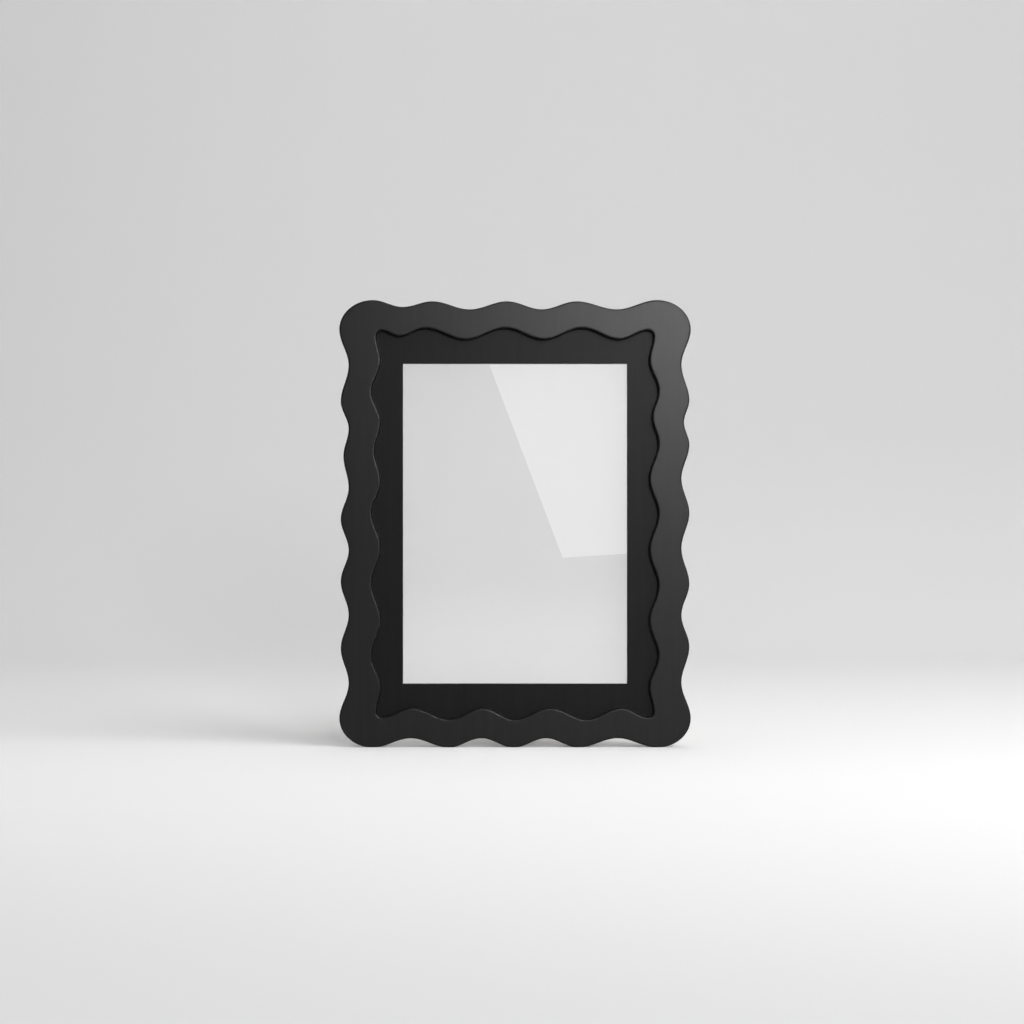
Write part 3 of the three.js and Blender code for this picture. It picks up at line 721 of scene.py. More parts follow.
def edge_stations(sizes, half, inner):
    """All stations of the outer or the inner edge, anticlockwise from the bottom left corner."""
    swing = sizes.inner_swing if inner else sizes.outer_swing
    lobe = Vector((sizes.lobe_across, sizes.lobe_up))
    notch = Vector((sizes.side_notch, sizes.end_notch))
    radius = Vector((sizes.notch_radius, sizes.notch_radius))
    side = sizes.side_crest
    outer_insets = {"bottom": 0.0, "right": side, "top": sizes.top_crest, "left": side}
    made = []
    for name, along in ALONG.items():
        end = along.x != 0
        axis = 0 if end else 1
        half_run = half[axis] - lobe[axis]
        if inner:
            crests = INNER_CRESTS[name]
            trough = sizes.end_trough if end else sizes.side_trough
            crest = trough - swing if end else sizes.side_inner_crest
            corner_inset = notch[1 - axis]
            corner = (1 - (half[axis] - notch[axis] - sizes.notch_radius) / half_run) / 2
        else:
            crests = OUTER_CRESTS[name]
            trough = sizes.outer_swing
            crest = outer_insets[name]
            corner_inset = 0.0
            corner = 0.0
        shares = turning_shares(crests, corner)
        full = (trough - crest) / swing
        lifts = [full * SHALLOW[name].get(i, 1 - i % 2) for i in range(len(shares))]
        lifts[0] = lifts[-1] = (trough - corner_inset) / swing
        made += side_stations(along, half_run, half[1 - axis] - trough, shares, lifts, swing)
        turn = (half - notch - radius, radius) if inner else (half - lobe, lobe)
        made += corner_stations(along, *turn)
    return made


def ribbon_guide(sizes, half):
    """A ring of quads whose points know their place on the wave and round the ribbon's section."""
    outer = edge_stations(sizes, half, inner=False)
    inner = edge_stations(sizes, half, inner=True)
    arris = [*arris_rings(), (0.0, FLAT_RING)]
    section = []
    for edge, face in ((1, -1), (1, 1), (-1, 1), (-1, -1)):
        rings = arris if edge * face < 0 else arris[::-1]
        section += [(edge, face, tuck, drop) for tuck, drop in rings]
    points = []
    for beyond, within in zip(outer, inner):
        points += [Point(*(beyond if spot[0] > 0 else within), *spot) for spot in section]
    width = len(section)
    quads = []
    for row in range(0, len(points), width):
        after = (row + width) % len(points)
        for i in range(width):
            j = (i + 1) % width
            quads.append((row + i, row + j, after + j, after + i))
    guide = bpy.data.meshes.new("ribbon_guide")
    guide.from_pydata([p.place.to_3d().xzy for p in points], [], quads)
    for name, kind in POINT_VALUES.items():
        values = [getattr(p, name) for p in points]
        if kind == "FLOAT_VECTOR":
            values = [v.to_3d().xzy for v in values]
        store(guide, name, kind, values)
    return guide


def ribbon_tree():
    """The wave's rule: each edge swings as a cosine, and the arris follows the edge's own slope."""
    floats = ("Outer swing", "Inner swing", "Thickness", "Arris", "Table")
    kinds = {name: "Float" for name in floats} | {"Centre": "Vector", "Material": "Material"}
    tree, given = geometry_tree("Wavy ribbon", kinds)
    at = {
        name: add_node(tree, NAMED_VALUE, {"data_type": kind}, {"Name": name})
        for name, kind in POINT_VALUES.items()
    }
    # Half the wave's depth here, and how far the wave lifts the edge.
    outside = add_node(tree, MATHS, {"operation": "GREATER_THAN"}, {0: at["edge"], 1: 0.0})
    swings = {0: outside, 2: given["Inner swing"], 3: given["Outer swing"]}
    swing = add_node(tree, "ShaderNodeMix", inputs=swings)
    depth = add_node(tree, MATHS, TIMES, {0: swing, 1: at["share"]})
    depth = add_node(tree, MATHS, TIMES, {0: depth, 1: 0.5})
    height = add_node(tree, MATHS, {"operation": "COSINE"}, {0: at["phase"]})
    lift = add_node(tree, MATHS, TIMES_PLUS, {0: depth, 1: height, 2: depth})
    # The edge's normal, from the slope of the wave.
    slope = add_node(tree, MATHS, {"operation": "SINE"}, {0: at["phase"]})
    slope = add_node(tree, MATHS, TIMES, {0: depth, 1: slope})
    slope = add_node(tree, MATHS, TIMES, {0: slope, 1: at["rate"]})
    tilted = add_node(tree, VECTOR_MATHS, TIMES_PLUS, {0: at["along"], 1: slope, 2: at["out"]})
    normal = add_node(tree, VECTOR_MATHS, {"operation": "NORMALIZE"}, {0: tilted})
    # Each point goes out with the wave, in along the normal and to its depth in the wood.
    tuck = add_node(tree, MATHS, TIMES, {0: given["Arris"], 1: at["tuck"]})
    tuck = add_node(tree, MATHS, TIMES, {0: tuck, 1: at["edge"]})
    lifted = add_node(tree, VECTOR_MATHS, {"operation": "SCALE"}, {0: at["out"], "Scale": lift})
    tucked = add_node(tree, VECTOR_MATHS, {"operation": "SCALE"}, {0: normal, "Scale": tuck})
    half = add_node(tree, MATHS, TIMES, {0: given["Thickness"], 1: 0.5})
    drop = add_node(tree, MATHS, TIMES, {0: given["Arris"], 1: at["drop"]})
    level = add_node(tree, MATHS, {"operation": "SUBTRACT"}, {0: half, 1: drop})
    level = add_node(tree, MATHS, TIMES, {0: level, 1: at["face"]})
    through = add_node(tree, "ShaderNodeCombineXYZ", inputs={1: level})
    offset = add_node(tree, VECTOR_MATHS, {"operation": "SUBTRACT"}, {0: lifted, 1: tucked})
    for part in (through, given["Centre"]):
        offset = add_node(tree, VECTOR_MATHS, {"operation": "ADD"}, {0: offset, 1: part})
    waved = add_node(tree, "GeometryNodeSetPosition", inputs={0: given["Geometry"], "Offset": offset})
    # The plane takes off what would lie below the table.
    where = add_node(tree, "GeometryNodeInputPosition")
    x, y, z = add_node(tree, "ShaderNodeSeparateXYZ", inputs={0: where}).outputs
    z = add_node(tree, MATHS, MOST, {0: z, 1: given["Table"]})
    flat = add_node(tree, "ShaderNodeCombineXYZ", inputs={0: x, 1: y, 2: z})
    planed = add_node(tree, "GeometryNodeSetPosition", inputs={0: waved, "Position": flat})
    end_tree(tree, planed, given["Material"])
    return tree


class FRAME_OT_ribbon(bpy.types.Operator):
    """Make the wavy front: a ribbon of wood whose two edges swing nearly in step"""

    bl_idname = "wavy_frame.ribbon"
    bl_label = "Wavy front"

    def execute(self, context):
        sizes = context.scene.frame_wave
        low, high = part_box("wave_front")
        half = Vector(((high.x - low.x) / 2, (high.z - low.z + sizes.foot_flat) / 2))
        values = {
            "Outer swing": sizes.outer_swing,
            "Inner swing": sizes.inner_swing,
            "Thickness": high.y - low.y,
            "Arris": sizes.arris,
            "Centre": Vector((0, (low.y + high.y) / 2, high.z - half.y)),
            "Table": low.z,
            "Material": finish("black_lacquer"),
        }
        mesh = grown(ribbon_guide(sizes, half), ribbon_tree(), values)
        for name in POINT_VALUES:
            mesh.attributes.remove(mesh.attributes[name])
        shape = bmesh.new()
        shape.from_mesh(mesh)
        bpy.data.meshes.remove(mesh)
        fitted(shape, "wave_front", "frame", "black_lacquer")
        return {"FINISHED"}


# Flat pieces behind the ribbon, and the strut

HINGES = ("lower", "upper")
BOARD_RIVETS = pairs(*(f"hinge_{place}_board_rivet" for place in HINGES))
STRUT_RIVETS = pairs(*(f"hinge_{place}_strut_rivet" for place in HINGES))
SCREW_SHANK = 1.4 * MM
NAIL_SHANK = 0.7 * MM
RIVET_SHANK = 0.9 * MM
STRUT_STEPS = 40


class FRAME_OT_panel(bpy.types.Operator):
    """Make the flat panel with its sight opening"""

    bl_idname = "wavy_frame.panel"
    bl_label = "Sight panel"

    def execute(self, context):
        sizes = context.scene.frame_plates
        low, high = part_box("glass_pane")
        lip = Vector((sizes.sight_lip, sizes.sight_lip))
        opening = rectangle(low.xz + lip, high.xz - lip)[::-1]
        panel = upright_plate("sight_panel", "frame", "black_panel", sizes.panel_arris, [opening])
        # The sheet behind looks even right up to the opening.
        casts_no_shade(panel)
        return {"FINISHED"}


class FRAME_OT_rails(bpy.types.Operator):
    """Make the four mitred rails, drilled for their screws"""

    bl_idname = "wavy_frame.rails"
    bl_label = "Rails"

    def execute(self, context):
        ease = context.scene.frame_plates.rail_arris
        for name in ALONG:
            node = f"rail_{name}"
            holes = []
            for screw in pairs(f"rail_screw_{name}"):
                low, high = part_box(screw)
                head = (high.x - low.x) / 2
                holes.append(drilled(middle(screw).xz, head, context.scene.frame_hardware))
            outer = self.mitred(name, *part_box(node))
            upright_plate(node, "frame", "black_stain", ease, holes, outer)
        return {"FINISHED"}

    def mitred(self, name, low, high):
        """The rail's box with its two inner corners cut back at 45 degrees."""
        width = min(high.x - low.x, high.z - low.z)
        corners = rectangle(low.xz, high.xz)
        cut = {
            "bottom": ((3, width, 0), (2, -width, 0)),
            "top": ((0, width, 0), (1, -width, 0)),
            "left": ((1, 0, width), (2, 0, -width)),
            "right": ((0, 0, width), (3, 0, -width)),
        }
        for corner, across, up in cut[name]:
            corners[corner] += Vector((across, up))
        return corners


class FRAME_OT_glazing(bpy.types.Operator):
    """Make the glass, the blank sheet and the back board that lie in the rebate"""

    bl_idname = "wavy_frame.glazing"
    bl_label = "Glass, sheet and back board"

    def execute(self, context):
        sizes = context.scene.frame_plates
        glass = upright_plate("glass_pane", "frame", "clear_glass", sizes.glass_arris)
        casts_no_shade(glass)
        upright_plate("blank_insert", "frame", "pale_sheet", sizes.sheet_arris)
        hardware = context.scene.frame_hardware
        holes = [drilled(middle(node).xz, RIVET_SHANK, hardware) for node in BOARD_RIVETS]
        upright_plate("back_board", "frame", "hardboard", sizes.board_arris, holes)
        return {"FINISHED"}


class FRAME_OT_strut(bpy.types.Operator):
    """Make the wooden strut that swings out behind the frame"""

    bl_idname = "wavy_frame.strut"
    bl_label = "Strut"

    def execute(self, context):
        sizes = context.scene.frame_plates
        low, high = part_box("strut_board")
        hardware = context.scene.frame_hardware
        holes = [drilled(middle(node).yz, RIVET_SHANK, hardware) for node in STRUT_RIVETS]
        outer = self.outline(sizes, low.y, high.y, high.z - low.z)
        shape = plate(Outline(outer, holes), high.x - low.x, sizes.strut_arris)
        sideways = Matrix(((0, 0, 1, low.x), (1, 0, 0, 0), (0, 1, 0, low.z), (0, 0, 0, 1)))
        fitted(shape, "strut_board", "strut", "black_lacquer", sideways)
        return {"FINISHED"}

    def outline(self, sizes, front, back, tall):
        """A straight front edge, an arched foot and a back edge that sweeps out to the toe."""
        corner = sizes.strut_corner
        heel = front + sizes.strut_flat
        toe = back - sizes.strut_flat
        top = front + sizes.strut_top
        shoulder = (top, tall - corner)
        arch = quadratic((heel, 0), ((heel + toe) / 2, 2 * sizes.strut_arch), (toe, 0))
        outer = [Vector((front, 0)), *arch, Vector((toe, 0))]
        outer += quadratic((back - corner / 2, 0), (back, 0), (back, corner))
        # The back edge leaves the toe towards a point a third of the way up, and ends upright.
        drawn = (back - sizes.strut_draw, tall / 3)
        outer += bezier((back, corner), drawn, (top, tall / 2), shoulder, STRUT_STEPS)
        outer += quadratic(shoulder, (top, tall), (top - corner, tall))
        return outer + [Vector((top - corner, tall)), Vector((front, tall))]


# Metal parts

BUTTONS = ("left_lower", "left_upper", "right_lower", "right_upper")
HANGER_TEETH = 9
BEND_STEPS = 6
LEAF_CORNER_STEPS = 8
KNUCKLE_STEPS = 40
KNUCKLE_TURN = math.radians(-305)


class FRAME_OT_buttons(bpy.types.Operator):
    """Make the turn buttons that hold the back board in"""

    bl_idname = "wavy_frame.buttons"
    bl_label = "Turn buttons"

    def execute(self, context):
        sizes = context.scene.frame_hardware
        for place in BUTTONS:
            node = f"turn_button_{place}"
            low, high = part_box(node)
            pivot = middle(f"button_screw_{place}")
            radius = (high.z - low.z) / 2
            outer = circle((high.x - radius, pivot.z), radius, COARSE_CIRCLE, -QUARTER, math.pi)
            outer += circle((low.x + radius, pivot.z), radius, COARSE_CIRCLE, QUARTER, math.pi)
            holes = [drilled(pivot.xz, SCREW_SHANK, sizes)]
            upright_plate(node, node, "zinc_steel", sizes.button_arris, holes, outer)
        return {"FINISHED"}


class FRAME_OT_hangers(bpy.types.Operator):
    """Make the sawtooth hangers: strips with teeth, bent to stand off the wood"""

    bl_idname = "wavy_frame.hangers"
    bl_label = "Sawtooth hangers"

    def execute(self, context):
        for place, turn in (("top", 0.0), ("side", -QUARTER)):
            node = f"sawtooth_hanger_{place}"
            low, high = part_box(node)
            shape = self.strip(context.scene.frame_hardware, high - low)
            at = Vector(((low.x + high.x) / 2, low.y, (low.z + high.z) / 2))
            matrix = Matrix.Translation(at) @ Matrix.Rotation(turn, 4, "Y") @ upright(0.0)
            fitted(shape, node, "frame", "zinc_steel", matrix)
        return {"FINISHED"}

    def strip(self, sizes, span):
        """The strip along X, with its teeth towards -Y and its front on Z = 0."""
        half = max(span.x, span.z) / 2
        low = -min(span.x, span.z) / 2
        foot = half - sizes.hanger_tab
        toothed = foot - sizes.hanger_bend
        pitch = 2 * toothed / HANGER_TEETH
        corners = rectangle((-half, low), (half, -low))
        outer = corners[1:] + corners[:1]
        for start in (-toothed + tooth * pitch for tooth in range(HANGER_TEETH)):
            outer += [Vector((start, low)), Vector((start + pitch / 2, low + sizes.tooth_depth))]
        outer.append(Vector((toothed, low)))
        nail_out = half - sizes.hanger_tab / 2
        holes = [drilled((side * nail_out, 0), NAIL_SHANK, sizes) for side in (-1, 1)]
        shape = plate(Outline(outer, holes), sizes.hanger_sheet, sizes.sheet_arris)
        self.bend(shape, toothed, foot, span.y - sizes.hanger_sheet)
        return shape

    def bend(self, shape, start, end, rise):
        """Lifts the middle of a strip, with a smooth slope between two distances from the middle."""
        for side in (-1, 1):
            for i in range(BEND_STEPS + 1):
                x = side * (start + (end - start) * i / BEND_STEPS)
                geometry = shape.verts[:] + shape.edges[:] + shape.faces[:]
                bmesh.ops.bisect_plane(shape, geom=geometry, plane_co=(x, 0, 0), plane_no=(1, 0, 0))
        for vert in shape.verts:
            share = min(1.0, max(0.0, (end - abs(vert.co.x)) / (end - start)))
            vert.co.z += rise * (3 - 2 * share) * share * share


class FRAME_OT_hinges(bpy.types.Operator):
    """Make the butt hinges of the strut, with rolled knuckles on headed pins"""

    bl_idname = "wavy_frame.hinges"
    bl_label = "Hinges"

    def execute(self, context):
        sizes = context.scene.frame_hardware
        swung = Matrix.Rotation(QUARTER, 4, "Z") @ Matrix.Rotation(math.pi, 4, "X")
        for place in HINGES:
            at = Matrix.Translation(middle(f"hinge_{place}_pin"))
            for kind, body, turn in (("fixed", "frame", Matrix()), ("moving", "strut", swung)):
                node = f"hinge_{place}_{kind}_leaf"
                low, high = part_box(node)
                shape = self.leaf(sizes, kind == "moving", high - low)
                fitted(shape, node, body, "brass", at @ turn)
        return {"FINISHED"}

    def leaf(self, sizes, moving, span):
        """A leaf along +X from the pin, flush with the side of its knuckles that faces -Y."""
        half = span.z / 2
        radius = min(span.xy) / 2
        wide = max(span.xy) - radius
        gap = sizes.knuckle_gap
        knuckle = (span.z - 2 * gap) / 3
        room = radius + gap
        corner = sizes.leaf_corner
        outer = circle((wide - corner, -half + corner), corner, LEAF_CORNER_STEPS, -QUARTER, QUARTER)
        outer += circle((wide - corner, half - corner), corner, LEAF_CORNER_STEPS, 0.0, QUARTER)
        # The moving leaf has the middle knuckle, and the fixed one those above and below it.
        cut = knuckle / 2 if moving else knuckle / 2 + gap
        ends, centre = (room, 0) if moving else (0, room)
        back = [(ends, half), (ends, cut), (centre, cut), (centre, -cut), (ends, -cut), (ends, -half)]
        outer += [Vector(p) for p in back]
        holes = [drilled((sizes.rivet_out, up * sizes.rivet_up), RIVET_SHANK, sizes) for up in (-1, 1)]
        sheet = plate(Outline(outer, holes), sizes.leaf_sheet, sizes.sheet_arris)
        sheet.transform(upright(-radius))
        step = knuckle + gap
        levels = (0,) if moving else (-step, step)
        return joined([sheet, *(self.roll(sizes, radius, knuckle, level) for level in levels)])

    def roll(self, sizes, radius, tall, level):
        """A knuckle: the sheet's end, rolled round the pin until it nearly meets the leaf again."""
        outside = circle((0, 0), radius, KNUCKLE_STEPS, -QUARTER, KNUCKLE_TURN)
        inside = circle((0, 0), radius - sizes.leaf_sheet, KNUCKLE_STEPS, -QUARTER, KNUCKLE_TURN)
        shape = plate(Outline(inside + outside[::-1]), tall, sizes.knuckle_arris)
        shape.transform(Matrix.Translation((0, 0, level - tall / 2)))
        return shape


# A kind of fastener: its piece and finish, the body it rides on, the solids that it stands for, the
# way its head faces, and its shape.
Fastener = namedtuple("Fastener", "piece slot body nodes axis shape")
DOME_STEPS = 6
# How much narrower a cross recess is at its floor.
CROSS_TAPER = 0.55


def dome(radius, base, height):
    """Profile of a domed head, from its rim to the middle of its top."""
    angles = [QUARTER * i / DOME_STEPS for i in range(DOME_STEPS)]
    return [(radius * math.cos(a), base + height * math.sin(a)) for a in angles] + [(0, base + height)]


def in_metres(profile):
    """A profile of radii and heights in millimetres, in metres."""
    return [(radius * MM, height * MM) for radius, height in profile]


def cross_headed(profile, sizes):
    """A turned screw whose flat top has a cross recess with sloping walls."""
    shape = turned(profile)
    rim, level = profile[-1]
    top = [shape.verts.new((p.x, p.y, level)) for p in circle((0, 0), rim)]
    loops = []
    for scale, height in ((1.0, level), (CROSS_TAPER, level - sizes.cross_depth)):
        reach = sizes.cross_reach * scale
        arm = sizes.cross_arm * scale
        points = []
        for quarter in range(4):
            turn = Matrix.Rotation(quarter * QUARTER, 2)
            points += [turn @ Vector(p) for p in ((reach, -arm), (reach, arm), (arm, arm))]
        loops.append([shape.verts.new((p.x, p.y, height)) for p in reversed(points)])
    mouth, floor = loops
    for i in range(len(mouth)):
        shape.faces.new((mouth[i - 1], mouth[i], floor[i], floor[i - 1]))
    fill(shape, [top, mouth])
    fill(shape, [floor])
    return shape


def sunk_screw(sizes):
    """A countersunk wood screw."""
    shank = SCREW_SHANK / MM
    profile = [(0, -11.7), (shank, -8.9), (shank, -1.8), (2.9, -0.12), (2.98, -0.03), (2.9, 0)]
    return cross_headed(in_metres(profile), sizes)


def pan_screw(sizes):
    """A short screw with a pan head, which a turn button turns on."""
    shank = SCREW_SHANK / MM
    head = [(2.8, 0), (2.8, 0.5), (2.62, 0.95), (2.2, 1.28), (1.75, 1.4)]
    return cross_headed(in_metres([(0, -5.6), (shank, -4.2), (shank, 0), *head]), sizes)


def hanger_nail():
    """A short nail with a low domed head."""
    shank = NAIL_SHANK / MM
    head = [(1.7, 0), (1.7, 0.25), *dome(1.62, 0.3, 0.4)]
    return turned(in_metres([(0, -5.0), (shank, -3.6), (shank, 0), *head]))


def rivet(grip_mm):
    """A round-headed rivet through this much material."""
    shank = RIVET_SHANK / MM
    return turned(in_metres([(0, -grip_mm), (shank, -grip_mm), (shank, 0), *dome(1.9, 0.0, 0.7)]))


def hinge_pin():
    """A pin with a low head at each end."""
    end = [(0, -12.7), (1.5, -12.7), (1.7, -12.55), (1.7, -12.1), (1, -12.1)]
    return turned(in_metres(end + [(radius, -height) for radius, height in reversed(end)]))


def fastener_tree():
    """Sets one fastener on each point, along the point's axis and turned at random about it."""
    kinds = {"Fastener": "Object", "Turn": "Float", "Seed": "Int", "Material": "Material"}
    tree, given = geometry_tree("Fasteners", kinds)
    axis = add_node(tree, NAMED_VALUE, {"data_type": "FLOAT_VECTOR"}, {"Name": "axis"})
    aligned = add_node(tree, "FunctionNodeAlignRotationToVector", {"axis": "Z"}, {"Vector": axis})
    limits = {3: given["Turn"], "Seed": given["Seed"]}
    angle = add_node(tree, "FunctionNodeRandomValue", {"data_type": "FLOAT"}, limits).outputs[1]
    spin = add_node(tree, "FunctionNodeAxisAngleToRotation", inputs={"Axis": (0, 0, 1), "Angle": angle})
    turn = add_node(tree, "FunctionNodeRotateRotation", {"rotation_space": "LOCAL"}, {0: aligned, 1: spin})
    shape = add_node(tree, "GeometryNodeObjectInfo", inputs={"Object": given["Fastener"]})
    inputs = {"Points": given["Geometry"], "Instance": shape.outputs["Geometry"], "Rotation": turn}
    copies = add_node(tree, "GeometryNodeInstanceOnPoints", inputs=inputs)
    end_tree(tree, copies, given["Material"])
    return tree


class FRAME_OT_fasteners(bpy.types.Operator):
    """Make the screws, nails, rivets and hinge pins"""

    bl_idname = "wavy_frame.fasteners"
    bl_label = "Screws, nails and rivets"

    def execute(self, context):
        tree = fastener_tree()
        for seed, fastener in enumerate(self.fasteners(context.scene.frame_hardware)):
            self.place(tree, fastener, seed)
        return {"FINISHED"}

    def fasteners(self, sizes):
        """Each kind of fastener, with its head's seat at Z = 0."""
        back = Vector((0, 1, 0))
        side = Vector((1, 0, 0))
        up = Vector((0, 0, 1))
        rails = pairs(*(f"rail_screw_{name}" for name in ALONG))
        buttons = [f"button_screw_{place}" for place in BUTTONS]
        nails = pairs("hanger_nail_top", "hanger_nail_side")
        pins = [f"hinge_{place}_pin" for place in HINGES]
        return [
            Fastener("rail_screws", "zinc_steel", "frame", rails, back, sunk_screw(sizes)),
            Fastener("button_screws", "zinc_steel", "frame", buttons, back, pan_screw(sizes)),
            Fastener("hanger_nails", "zinc_steel", "frame", nails, back, hanger_nail()),
            Fastener("board_rivets", "brass", "frame", BOARD_RIVETS, back, rivet(grip_mm=4.2)),
            Fastener("strut_rivets", "brass", "strut", STRUT_RIVETS, side, rivet(grip_mm=6.2)),
            Fastener("hinge_pins", "brass", "frame", pins, up, hinge_pin()),
        ]

    def place(self, tree, fastener, seed):
        """Sets one kind of fastener where its solids are, their ends level with the solids' ends."""
        reach = max(vert.co.z for vert in fastener.shape.verts)
        points = []
        for node in fastener.nodes:
            low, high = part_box(node)
            along = (high - low).dot(fastener.axis)
            points.append((low + high) / 2 + fastener.axis * (along / 2 - reach))
        guide = bpy.data.meshes.new(f"{fastener.piece}_guide")
        guide.from_pydata(points, [], [])
        store(guide, "axis", "FLOAT_VECTOR", [fastener.axis] * len(points))
        material = finish(fastener.slot)
        one = finished(fastener.shape, f"{fastener.piece}_pattern", material)
        mesh = grown(guide, tree, {"Fastener": one, "Turn": 2 * math.pi, "Seed": seed, "Material": material})
        bpy.data.objects.remove(one)
        piece = placed(mesh, fastener.piece, material)
        stands_for(piece, fastener.body, fastener.slot, *fastener.nodes)


# Stage. Places and spans are in metres.

SWEEP_FRONT = -8.0
SWEEP_HALF = 12.0
COVE_START = 0.75
COVE_RADIUS = 0.9
COVE_STEPS = 24
WALL_TOP = 4.0
# The paper's own light, which keeps it pale at a plain level of lamps.
PAPER_GLOW = 0.11
# Where the paper changes: across the picture, up the wall, towards the front, and away from the lamps.
# Across the picture and towards the front the colour paints the lamps' fall-off: painted shade on the left
# of the floor and far in front, painted light on the left of the wall.
LEFT_TO_RIGHT = {"From Min": -0.35, "From Max": 0.3}
FLOOR_TO_WALL = {"From Min": 0.0, "From Max": 0.2}
BACK_TO_FRONT = {"From Min": -0.1, "From Max": -1.1}
OUT_OF_REACH = {"From Min": 0.55, "From Max": 1.2}
WORLD_LIGHT = 0.1
WORLD_SEEN = 0.75
# Lamps: place, width and power in watts. The key's mirror image just misses the glass.
LAMPS = {
    "key": ((0.29, -1.95, 0.47), 0.28, 13.5),
    "side": ((1.0, -0.85, 1.0), 1.3, 18.0),
    "top": ((0.0, 0.2, 1.6), 1.6, 7.5),
}
LAMPS_AIM = Vector((0, 0, 0.1))
# The softbox's corners, across and up. The glass mirrors the first and the two edges that meet there.
SOFTBOX = ((0.063, 0.066), (1.6, 0.163), (1.6, 1.9), (-0.634, 1.9))
SOFTBOX_FRONT = -2.0
SOFTBOX_LIGHT = 1.45
# Dark cloths: how far in front they hang, how tall they are, and how pale their foot is, which matches
# the floor there, so that no line shows in the glass.
CLOTHS = {
    "flag_tall": (-2.2, 3.0, 0.04),
    "flag_low": (-1.2, 0.07, 0.745),
}
CLOTH_HALF = 3.0
CLOTH_DARK = 0.04
CAMERA_DISTANCE = 1.4
CAMERA_ACROSS = -0.0016
CAMERA_HEIGHT = 0.1243
SENSOR_MM = 36.0
LENS_MM = 93.15


def by_sight(tree, unseen, seen):
    """A value for rays that are seen, directly, mirrored or through glass, and another for the rest."""
    path = add_node(tree, "ShaderNodeLightPath").outputs
    sight = path["Is Camera Ray"]
    for ray in ("Is Glossy Ray", "Is Transmission Ray"):
        sight = add_node(tree, MATHS, MOST, {0: sight, 1: path[ray]})
    return add_node(tree, RANGE, inputs={"Value": sight, "To Min": unseen, "To Max": seen}).outputs[0]


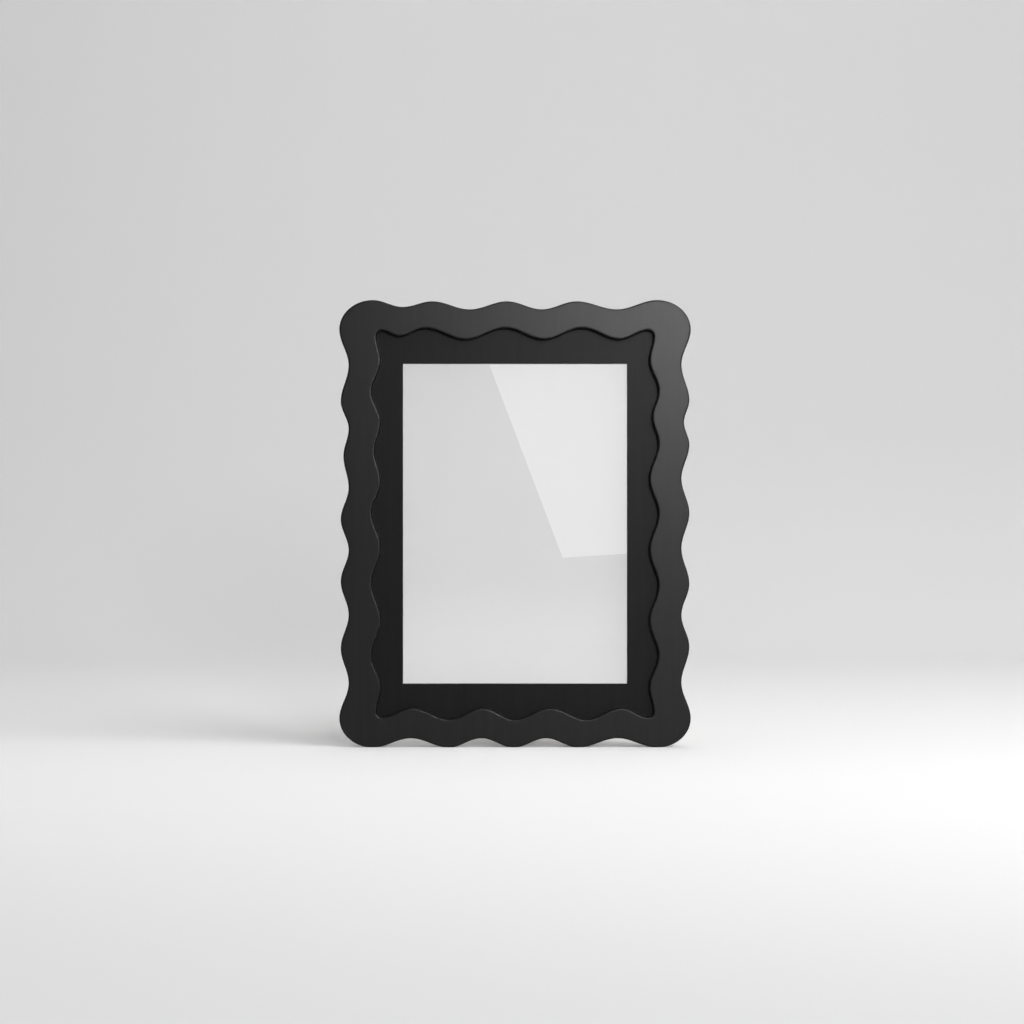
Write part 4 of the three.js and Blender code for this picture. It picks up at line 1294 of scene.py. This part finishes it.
class FRAME_OT_stage(bpy.types.Operator):
    """Set the frame on a pale sweep, with lamps, a softbox and a camera"""

    bl_idname = "wavy_frame.stage"
    bl_label = "Stage"

    def execute(self, context):
        scene = context.scene
        scene.view_settings.view_transform = "Standard"
        self.sweep(scene.frame_stage)
        self.world(scene)
        for name, lamp in LAMPS.items():
            self.lamp(scene, name, *lamp)
        self.softbox()
        for name, cloth in CLOTHS.items():
            self.cloth(name, *cloth)
        self.camera(scene)
        return {"FINISHED"}

    def sweep(self, look):
        """The floor, which rises in a curve to the wall."""
        profile = [(SWEEP_FRONT, 0.0), (COVE_START, 0.0)]
        for angle in (QUARTER * i / COVE_STEPS for i in range(1, COVE_STEPS + 1)):
            across = COVE_START + COVE_RADIUS * math.sin(angle)
            profile.append((across, COVE_RADIUS - COVE_RADIUS * math.cos(angle)))
        profile.append((COVE_START + COVE_RADIUS, WALL_TOP))
        verts = [(x, y, z) for y, z in profile for x in (-SWEEP_HALF, SWEEP_HALF)]
        faces = [(i, i + 1, i + 3, i + 2) for i in range(0, len(verts) - 2, 2)]
        mesh = bpy.data.meshes.new("sweep")
        mesh.from_pydata(verts, [], faces)
        placed(mesh, "sweep", self.paper(look))

    def paper(self, look):
        """Matt pale paper: it glows a little, and looks evenly pale where the lamps fade out. Its colour is
        painted shade on the left of the floor and towards the front, and painted light on the left of the
        wall.
        """
        material, tree = new_material("Pale paper sweep")
        where = add_node(tree, "ShaderNodeTexCoord").outputs["Object"]
        x, y, z = add_node(tree, "ShaderNodeSeparateXYZ", inputs={0: where}).outputs
        # Painted shade and light: the floor darker to the left and towards the front, the wall paler to the
        # left.
        floor = graded(tree, x, LEFT_TO_RIGHT, look.floor_left, look.floor)
        wall = graded(tree, x, LEFT_TO_RIGHT, look.wall_left, look.wall)
        behind = graded(tree, z, FLOOR_TO_WALL, floor, wall)
        shade = graded(tree, y, BACK_TO_FRONT, behind, look.floor_front, "SMOOTHSTEP")
        inputs = {
            "Base Color": shade,
            "Roughness": 0.9,
            "Specular IOR Level": 0.1,
            "Emission Color": shade,
            "Emission Strength": by_sight(tree, 0.0, PAPER_GLOW),
        }
        surface = add_node(tree, SURFACE, inputs=inputs)
        aside = add_node(tree, MATHS, {"operation": "ABSOLUTE"}, {0: x})
        ahead = add_node(tree, MATHS, TIMES, {0: y, 1: -1.0})
        away = add_node(tree, MATHS, MOST, {0: aside, 1: ahead})
        ramp = add_node(tree, RANGE, {"interpolation_type": "SMOOTHSTEP"}, {"Value": away, **OUT_OF_REACH})
        pale = add_node(tree, "ShaderNodeEmission", inputs={"Color": look.far})
        inputs = {0: by_sight(tree, 0.0, ramp), 1: surface, 2: pale}
        both = add_node(tree, "ShaderNodeMixShader", inputs=inputs)
        add_node(tree, OUTPUT, inputs={"Surface": both})
        return material

    def world(self, scene):
        """Even light from all round, weak on the frame and pale to the eye."""
        world = bpy.data.worlds.new("Studio")
        world.use_nodes = True
        scene.world = world
        tree = world.node_tree
        background = tree.nodes["Background"]
        background.inputs["Color"].default_value = linear("#ffffff")
        tree.links.new(by_sight(tree, WORLD_LIGHT, WORLD_SEEN), background.inputs["Strength"])

    def lamp(self, scene, name, place, size, power):
        """A square lamp aimed at the frame."""
        data = bpy.data.lights.new(name, "AREA")
        data.size = size
        data.energy = power
        lamp = bpy.data.objects.new(name, data)
        lamp.location = place
        lamp.rotation_euler = (LAMPS_AIM - Vector(place)).to_track_quat("-Z", "Y").to_euler()
        scene.collection.objects.link(lamp)

    def softbox(self):
        """The bright card in front of the frame that its glass mirrors."""
        material, tree = new_material("Lit softbox")
        glow = add_node(tree, "ShaderNodeEmission", inputs={"Strength": SOFTBOX_LIGHT})
        add_node(tree, OUTPUT, inputs={"Surface": glow})
        self.card("softbox", [(x, SOFTBOX_FRONT, z) for x, z in SOFTBOX], material)

    def cloth(self, name, front, tall, foot):
        """A dark cloth that keeps pale walls out of the lacquer's gloss."""
        material, tree = new_material(f"Dark cloth, {name}")
        where = add_node(tree, "ShaderNodeTexCoord").outputs["Object"]
        height = add_node(tree, "ShaderNodeSeparateXYZ", inputs={0: where}).outputs[2]
        inputs = {"Value": height, "From Max": tall, "To Min": foot, "To Max": CLOTH_DARK}
        level = add_node(tree, RANGE, {"interpolation_type": "SMOOTHSTEP"}, inputs)
        glow = add_node(tree, "ShaderNodeEmission", inputs={"Strength": level})
        add_node(tree, OUTPUT, inputs={"Surface": glow})
        corners = rectangle((-CLOTH_HALF, 0.0), (CLOTH_HALF, tall))
        self.card(name, [(x, front, z) for x, z in corners], material)

    def card(self, name, corners, material):
        """A flat card that only shows in what mirrors it."""
        mesh = bpy.data.meshes.new(name)
        mesh.from_pydata(corners, [], [(0, 1, 2, 3)])
        piece = placed(mesh, name, material)
        casts_no_shade(piece)
        piece.visible_camera = False

    def camera(self, scene):
        """A level camera with a long lens, square to the front of the frame."""
        data = bpy.data.cameras.new("camera")
        data.sensor_width = SENSOR_MM
        data.lens = LENS_MM
        camera = bpy.data.objects.new("camera", data)
        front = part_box("wave_front")[0].y
        camera.location = (CAMERA_ACROSS, front - CAMERA_DISTANCE, CAMERA_HEIGHT)
        camera.rotation_euler = (QUARTER, 0.0, 0.0)
        scene.collection.objects.link(camera)
        scene.camera = camera


class FRAME_PT_sidebar(bpy.types.Panel):
    """The operators and their sizes"""

    bl_idname = "FRAME_PT_sidebar"
    bl_label = "Wavy frame"
    bl_space_type = "VIEW_3D"
    bl_region_type = "UI"
    bl_category = "Frame"

    def draw(self, context):
        for operator in OPERATORS:
            self.layout.operator(operator.bl_idname)
        for group in GROUPS:
            settings = getattr(context.scene, group)
            for name in settings.__annotations__:
                self.layout.prop(settings, name)


OPERATORS = (
    FRAME_OT_ribbon,
    FRAME_OT_panel,
    FRAME_OT_rails,
    FRAME_OT_glazing,
    FRAME_OT_buttons,
    FRAME_OT_hangers,
    FRAME_OT_strut,
    FRAME_OT_hinges,
    FRAME_OT_fasteners,
    FRAME_OT_stage,
)
GROUPS = {
    "frame_wave": WaveSizes,
    "frame_plates": PlateSizes,
    "frame_hardware": HardwareSizes,
    "frame_colours": FinishColours,
    "frame_stage": StageLook,
}


def register():
    for group in GROUPS.values():
        bpy.utils.register_class(group)
    for name, group in GROUPS.items():
        setattr(bpy.types.Scene, name, bpy.props.PointerProperty(type=group))
    for operator in OPERATORS:
        bpy.utils.register_class(operator)
    bpy.utils.register_class(FRAME_PT_sidebar)


def unregister():
    bpy.utils.unregister_class(FRAME_PT_sidebar)
    for operator in reversed(OPERATORS):
        bpy.utils.unregister_class(operator)
    for name, group in GROUPS.items():
        delattr(bpy.types.Scene, name)
        bpy.utils.unregister_class(group)


def main():
    register()
    for operator in OPERATORS:
        category, name = operator.bl_idname.split(".")
        getattr(getattr(bpy.ops, category), name)()


if __name__ == "__main__":
    main()
